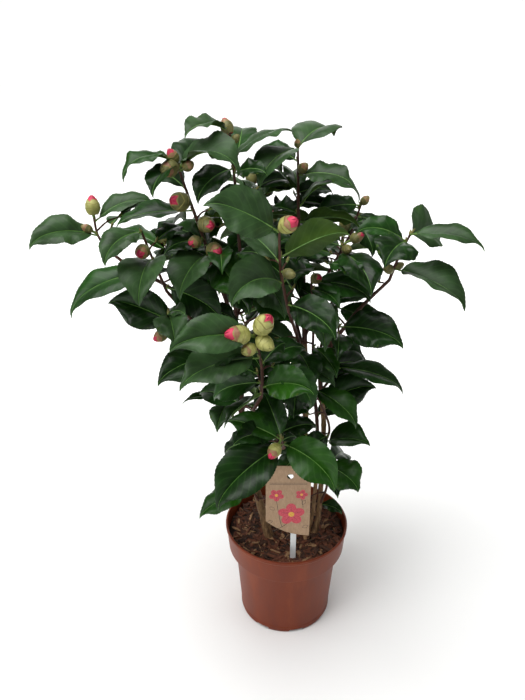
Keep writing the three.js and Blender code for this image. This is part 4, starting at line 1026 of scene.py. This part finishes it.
draw = seeded_draw(TWIGLET["seed"])
bearers = [(name, limb, BEARING["stem" if name in STEMS else "bough"]) for name, limb in limbs.items()]
bearers += [(name, shoot, BEARING["back" if name.startswith("back_") else "shoot"])
            for name, shoot in shoots.items()]
for name, limb, (count, low, high) in bearers:
    for i in range(count):
        t = lerp(low, high, (i + draw()) / count)
        base = hermite(limb["points"], t)
        inward = math.degrees(math.atan2(CROWN_MIDDLE[1] - base[1], CROWN_MIDDLE[0] - base[0]))
        bearing = inward + TWIGLET["spread"] * (draw() - 0.5)
        rise = lerp(*TWIGLET["rise"], draw())
        reach = lerp(*TWIGLET["length"], draw()) + limb_radius(limb, t)
        tip = base + heading(bearing, rise) * reach
        arch = lerp(base, tip, 0.5) + [0, 0, TWIGLET["arch"] * reach]
        twiglet = {"points": [base, arch, tip], "radii": TWIGLET["radii"], "flare": False}
        grown = 0
        for turn in TWIGLET["sprays"]:
            stray = TWIGLET["stray"]
            leaf = [bearing + turn + stray * (draw() - 0.5), rise + stray * draw() - stray / 2,
                    lerp(*TWIGLET["leaf"], draw()), lerp(*FILL["droop"], draw()), LEAF["lean"],
                    LEAF["sway"] * (draw() - 0.5), lerp(*LEAF["fold"], draw()),
                    LEAF["width"] * lerp(*TWIGLET["growth"], draw())]
            plain = plain_leaf(tip, leaf, LEAF["face_from"]["set"], SHOOT["clear"])
            # Six in ten inner leaves are deep green: partly the leaf's own tone, partly painted shade inside
            # the crown.
            tone = DEEP if draw() < TWIGLET["deep"] else GREEN
            if touches(plain, (name,)):
                continue
            add_taken(f"{name}_twiglet", plain)
            side = "back" if tip[1] > TWIGLET["back_from"] else "left" if tip[0] < 0 else "right"
            slots = (tone, UNDER, MIDRIB, PETIOLE)
            fine_leaf(leaf_heaps[side], tip, leaf, LEAF["face_from"]["set"], slots, draw)
            grown += 1
        if grown:
            twigs.add(*skin(bark_rings(twiglet, "twiglet", i)), 0)
            leaf_bud(twigs, tip, bearing, rise + TWIGLET["bud_lift"], TWIGLET["bud_length"], TWIG_GREEN)

for side, heap in leaf_heaps.items():
    leaves_piece = heap.build(f"leaves_{side}", leaf_materials, sharp=50)
    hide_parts(*(name for name in MASSES if heap_of[name] == side))
twig_piece = twigs.build("twigs_and_leaf_buds", twig_materials, sharp=60)
bud_piece = flower_buds.build("flower_buds", bud_materials, sharp=50)

# ---------------------------------------------------------------- card label
# A label cut from brown kraft board, its lower edge cut in a curve, with a punched hole at
# the top. It is printed with a plain flower pattern in coral and yellow.

# Kraft board: long brown fibres in matt pulp, drawn at 2 mm.
kraft = mottled_material(
    "brown_kraft_board", [(0.3, "#9a7e63"), (0.55, "#aa8d71"), (0.8, "#ba9e83")],
    {"Scale": per_metre(2), "Detail": 6, "Roughness": 0.7}, {"IOR": 1.45, "Roughness": 0.8}, stretch=0.4)
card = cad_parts["label_card"]
card.data.materials.clear()
card.data.materials.append(kraft)


# Printing ink on board: a thin matt film, a little broken by the fibres under it, which are
# drawn a little finer than the board's own.
def ink(name, deep, light):
    return mottled_material(name, [(0.35, deep), (0.6, light)], {"Scale": per_metre(1.667), "Detail": 4},
                            {"IOR": 1.5, "Roughness": 0.6})


CARD_FRONT = -56.8
CARD_INK = {"sunk": 0.05, "proud": 0.1, "layer": 0.01}
inks = [ink("coral_ink", "#b33848", "#c94d5a"), ink("yellow_ink", "#cf9430", "#e0b04c"),
        ink("black_ink", "#2c2725", "#463f3a")]
CORAL, YELLOW, BLACK = range(len(inks))
printing = Heap()


def print_shape(outline, slot, layer=0):
    """A flat film of ink on the card's front, from its outline in x and z."""
    front = CARD_FRONT - CARD_INK["proud"] - layer * CARD_INK["layer"]
    points, faces = skin([[(x, y, z) for x, z in outline] for y in (CARD_FRONT + CARD_INK["sunk"], front)])
    printing.add(points, faces, slot)


def print_line(path, width, layer=0):
    """A fine black line along a path in x and z."""
    path = np.array(path, float)
    along = np.gradient(path, axis=0)
    side = np.stack([along[:, 1], -along[:, 0]], 1) / np.linalg.norm(along, axis=1)[:, None] * width / 2
    print_shape(np.concatenate([path - side, (path + side)[::-1]]), BLACK, layer)


# Three open blossoms of five round petals on one bent twig, under a double rule. Each has its
# centre, its size and the bearing of its first petal.
BLOSSOMS = [((3, 190), 15.5, 20), ((-14, 217), 8.5, 55), ((14, 218), 7, 0)]
PETAL_SHAPE = {"count": 5, "middle": 0.55, "half": (0.45, 0.38), "veins": (0.3, 0.5, 0.72), "eye": 0.22}
PEN = {"twig": 0.6, "branch": 0.5, "rule": 0.4, "leaf": 0.35, "vein": 0.3}
VEIN_LAYER = PETAL_SHAPE["count"] + 1
petal_turn = ring_angles(28)
for (x, z), size, first in BLOSSOMS:
    for k in range(PETAL_SHAPE["count"]):
        angle = math.radians(first + 360 * k / PETAL_SHAPE["count"])
        reach, half_width = (share * size for share in PETAL_SHAPE["half"])
        away = PETAL_SHAPE["middle"] * size + reach * np.cos(petal_turn)
        wide = half_width * np.sin(petal_turn)
        petal = np.stack([x + away * math.cos(angle) - wide * math.sin(angle),
                          z + away * math.sin(angle) + wide * math.cos(angle)], 1)
        print_shape(petal[::-1], CORAL, k)
        vein = [(x + share * size * math.cos(angle), z + share * size * math.sin(angle))
                for share in PETAL_SHAPE["veins"]]
        print_line(vein, PEN["vein"], VEIN_LAYER)
    eye = PETAL_SHAPE["eye"] * size
    print_shape([(x + eye * math.cos(a), z - eye * math.sin(a)) for a in petal_turn], YELLOW, VEIN_LAYER + 1)

# The twig, its two branches, its four leaves, and the two rules above them.
LEAVES_DRAWN = {"length": 7, "bow": 2, "at": ((-16, 196, 140), (16, 171, 20), (-18, 180, 200), (15, 204, 60))}
bend = np.linspace(0, 1, 12)
print_line(np.stack([-18 + 26 * bend, 166 + 14 * bend ** 2 + 8 * bend], 1), PEN["twig"])
print_line(np.stack([-7 - 7 * bend, 171 + 39 * bend ** 1.4], 1), PEN["branch"])
print_line(np.stack([16 - 2 * bend ** 2, 200 + 12 * bend], 1), PEN["branch"])
for x, z, angle in LEAVES_DRAWN["at"]:
    turn, reach = math.radians(angle), LEAVES_DRAWN["length"] * bend
    for curve in (-LEAVES_DRAWN["bow"], LEAVES_DRAWN["bow"]):
        bow = curve * np.sin(math.pi * bend)
        print_line(np.stack([x + reach * math.cos(turn) - bow * math.sin(turn),
                             z + reach * math.sin(turn) + bow * math.cos(turn)], 1), PEN["leaf"])
for height in (232, 234):
    print_line([(-22, height), (0, height), (20, height)], PEN["rule"])
print_piece = printing.build("label_print", inks, sharp=30)

# ---------------------------------------------------------------- label stake
# A flat stake moulded in white polystyrene, pushed into the soil; the card is hooked on it.
# It is smooth and slightly glossy, with faint milky clouds about 11 mm across.
stake_plastic = mottled_material("white_polystyrene", [(0.3, "#d3d6d6"), (0.7, "#e6e8e8")],
                                 {"Scale": per_metre(11.1), "Detail": 2}, {"IOR": 1.59, "Roughness": 0.34})
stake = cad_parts["label_stake"]
stake.data.materials.clear()
stake.data.materials.append(stake_plastic)

# ---------------------------------------------------------------- floor, lights and camera
# A plain pale studio floor that curves up far behind, a large soft box overhead, two
# softer ones at the sides, and one that lights the floor's curve.
floor_white, tree, output = new_material("pale_studio_paper")
shader = add_node(tree, "ShaderNodeBsdfPrincipled", {"Base Color": linear("#f4f4f3"), "Roughness": 0.9})
tree.links.new(shader.outputs[0], output.inputs[0])
FLOOR = {"half": 6.0, "back": 3.0, "bend": 1, "top": 5.0}
sweep = [(-FLOOR["half"], 0), (FLOOR["back"], 0)]
sweep += [(FLOOR["back"] + FLOOR["bend"] * math.sin(a), FLOOR["bend"] * (1 - math.cos(a)))
          for a in np.radians(np.arange(10, 91, 10))]
sweep += [(FLOOR["back"] + FLOOR["bend"], FLOOR["top"])]
floor_points = [(x, y, z) for y, z in sweep for x in (-FLOOR["half"], FLOOR["half"])]
floor_faces = [(2 * i, 2 * i + 1, 2 * i + 3, 2 * i + 2) for i in range(len(sweep) - 1)]
floor_mesh = bpy.data.meshes.new("studio_floor")
floor_mesh.from_pydata(floor_points, [], floor_faces)
floor_mesh.materials.append(floor_white)
floor = bpy.data.objects.new("studio_floor", floor_mesh)
bpy.context.scene.collection.objects.link(floor)

LIGHTS = {
    "overhead_box": {"at": (-0.4, -0.3, 2.4), "size": 1.8, "watts": 60},
    "left_box": {"at": (-1.7, -1.1, 1.3), "size": 1.2, "watts": 23},
    "right_box": {"at": (1.8, -0.9, 1.2), "size": 1.4, "watts": 5},
    "backdrop_box": {"at": (0, 1.4, 2.2), "size": 2.4, "watts": 90, "to": (0, 3.6, 0.6)},
}
for name, light in LIGHTS.items():
    lamp = bpy.data.lights.new(name, "AREA")
    lamp.size, lamp.energy = light["size"], light["watts"]
    lamp_object = bpy.data.objects.new(name, lamp)
    lamp_object.location = light["at"]
    aim = Vector(light.get("to", (0, 0, 0.3))) - Vector(light["at"])
    lamp_object.rotation_euler = aim.to_track_quat("-Z", "Y").to_euler()
    bpy.context.scene.collection.objects.link(lamp_object)

# A faint even light comes from all round. To the camera the room past the floor is brighter.
world = bpy.data.worlds.new("studio")
world.use_nodes = True
world.node_tree.nodes["Background"].inputs["Color"].default_value = (1, 1, 1, 1)
seen = add_node(world.node_tree, "ShaderNodeLightPath", {})
glow = add_node(world.node_tree, "ShaderNodeMapRange", {"To Min": 0.16, "To Max": 0.45},
                {"Value": seen.outputs["Is Camera Ray"]})
world.node_tree.links.new(glow.outputs[0], world.node_tree.nodes["Background"].inputs["Strength"])
bpy.context.scene.world = world
bpy.context.scene.view_settings.view_transform = "Standard"

CAMERA = {"at": (-0.0296, -0.676, 0.719), "pitch": 62.7, "lens": 36, "sensor": 36}
camera_data = bpy.data.cameras.new("camera")
camera_data.lens, camera_data.sensor_width = CAMERA["lens"], CAMERA["sensor"]
camera = bpy.data.objects.new("camera", camera_data)
camera.location = CAMERA["at"]
camera.rotation_euler = (math.radians(CAMERA["pitch"]), 0, 0)
bpy.context.scene.collection.objects.link(camera)
bpy.context.scene.camera = camera
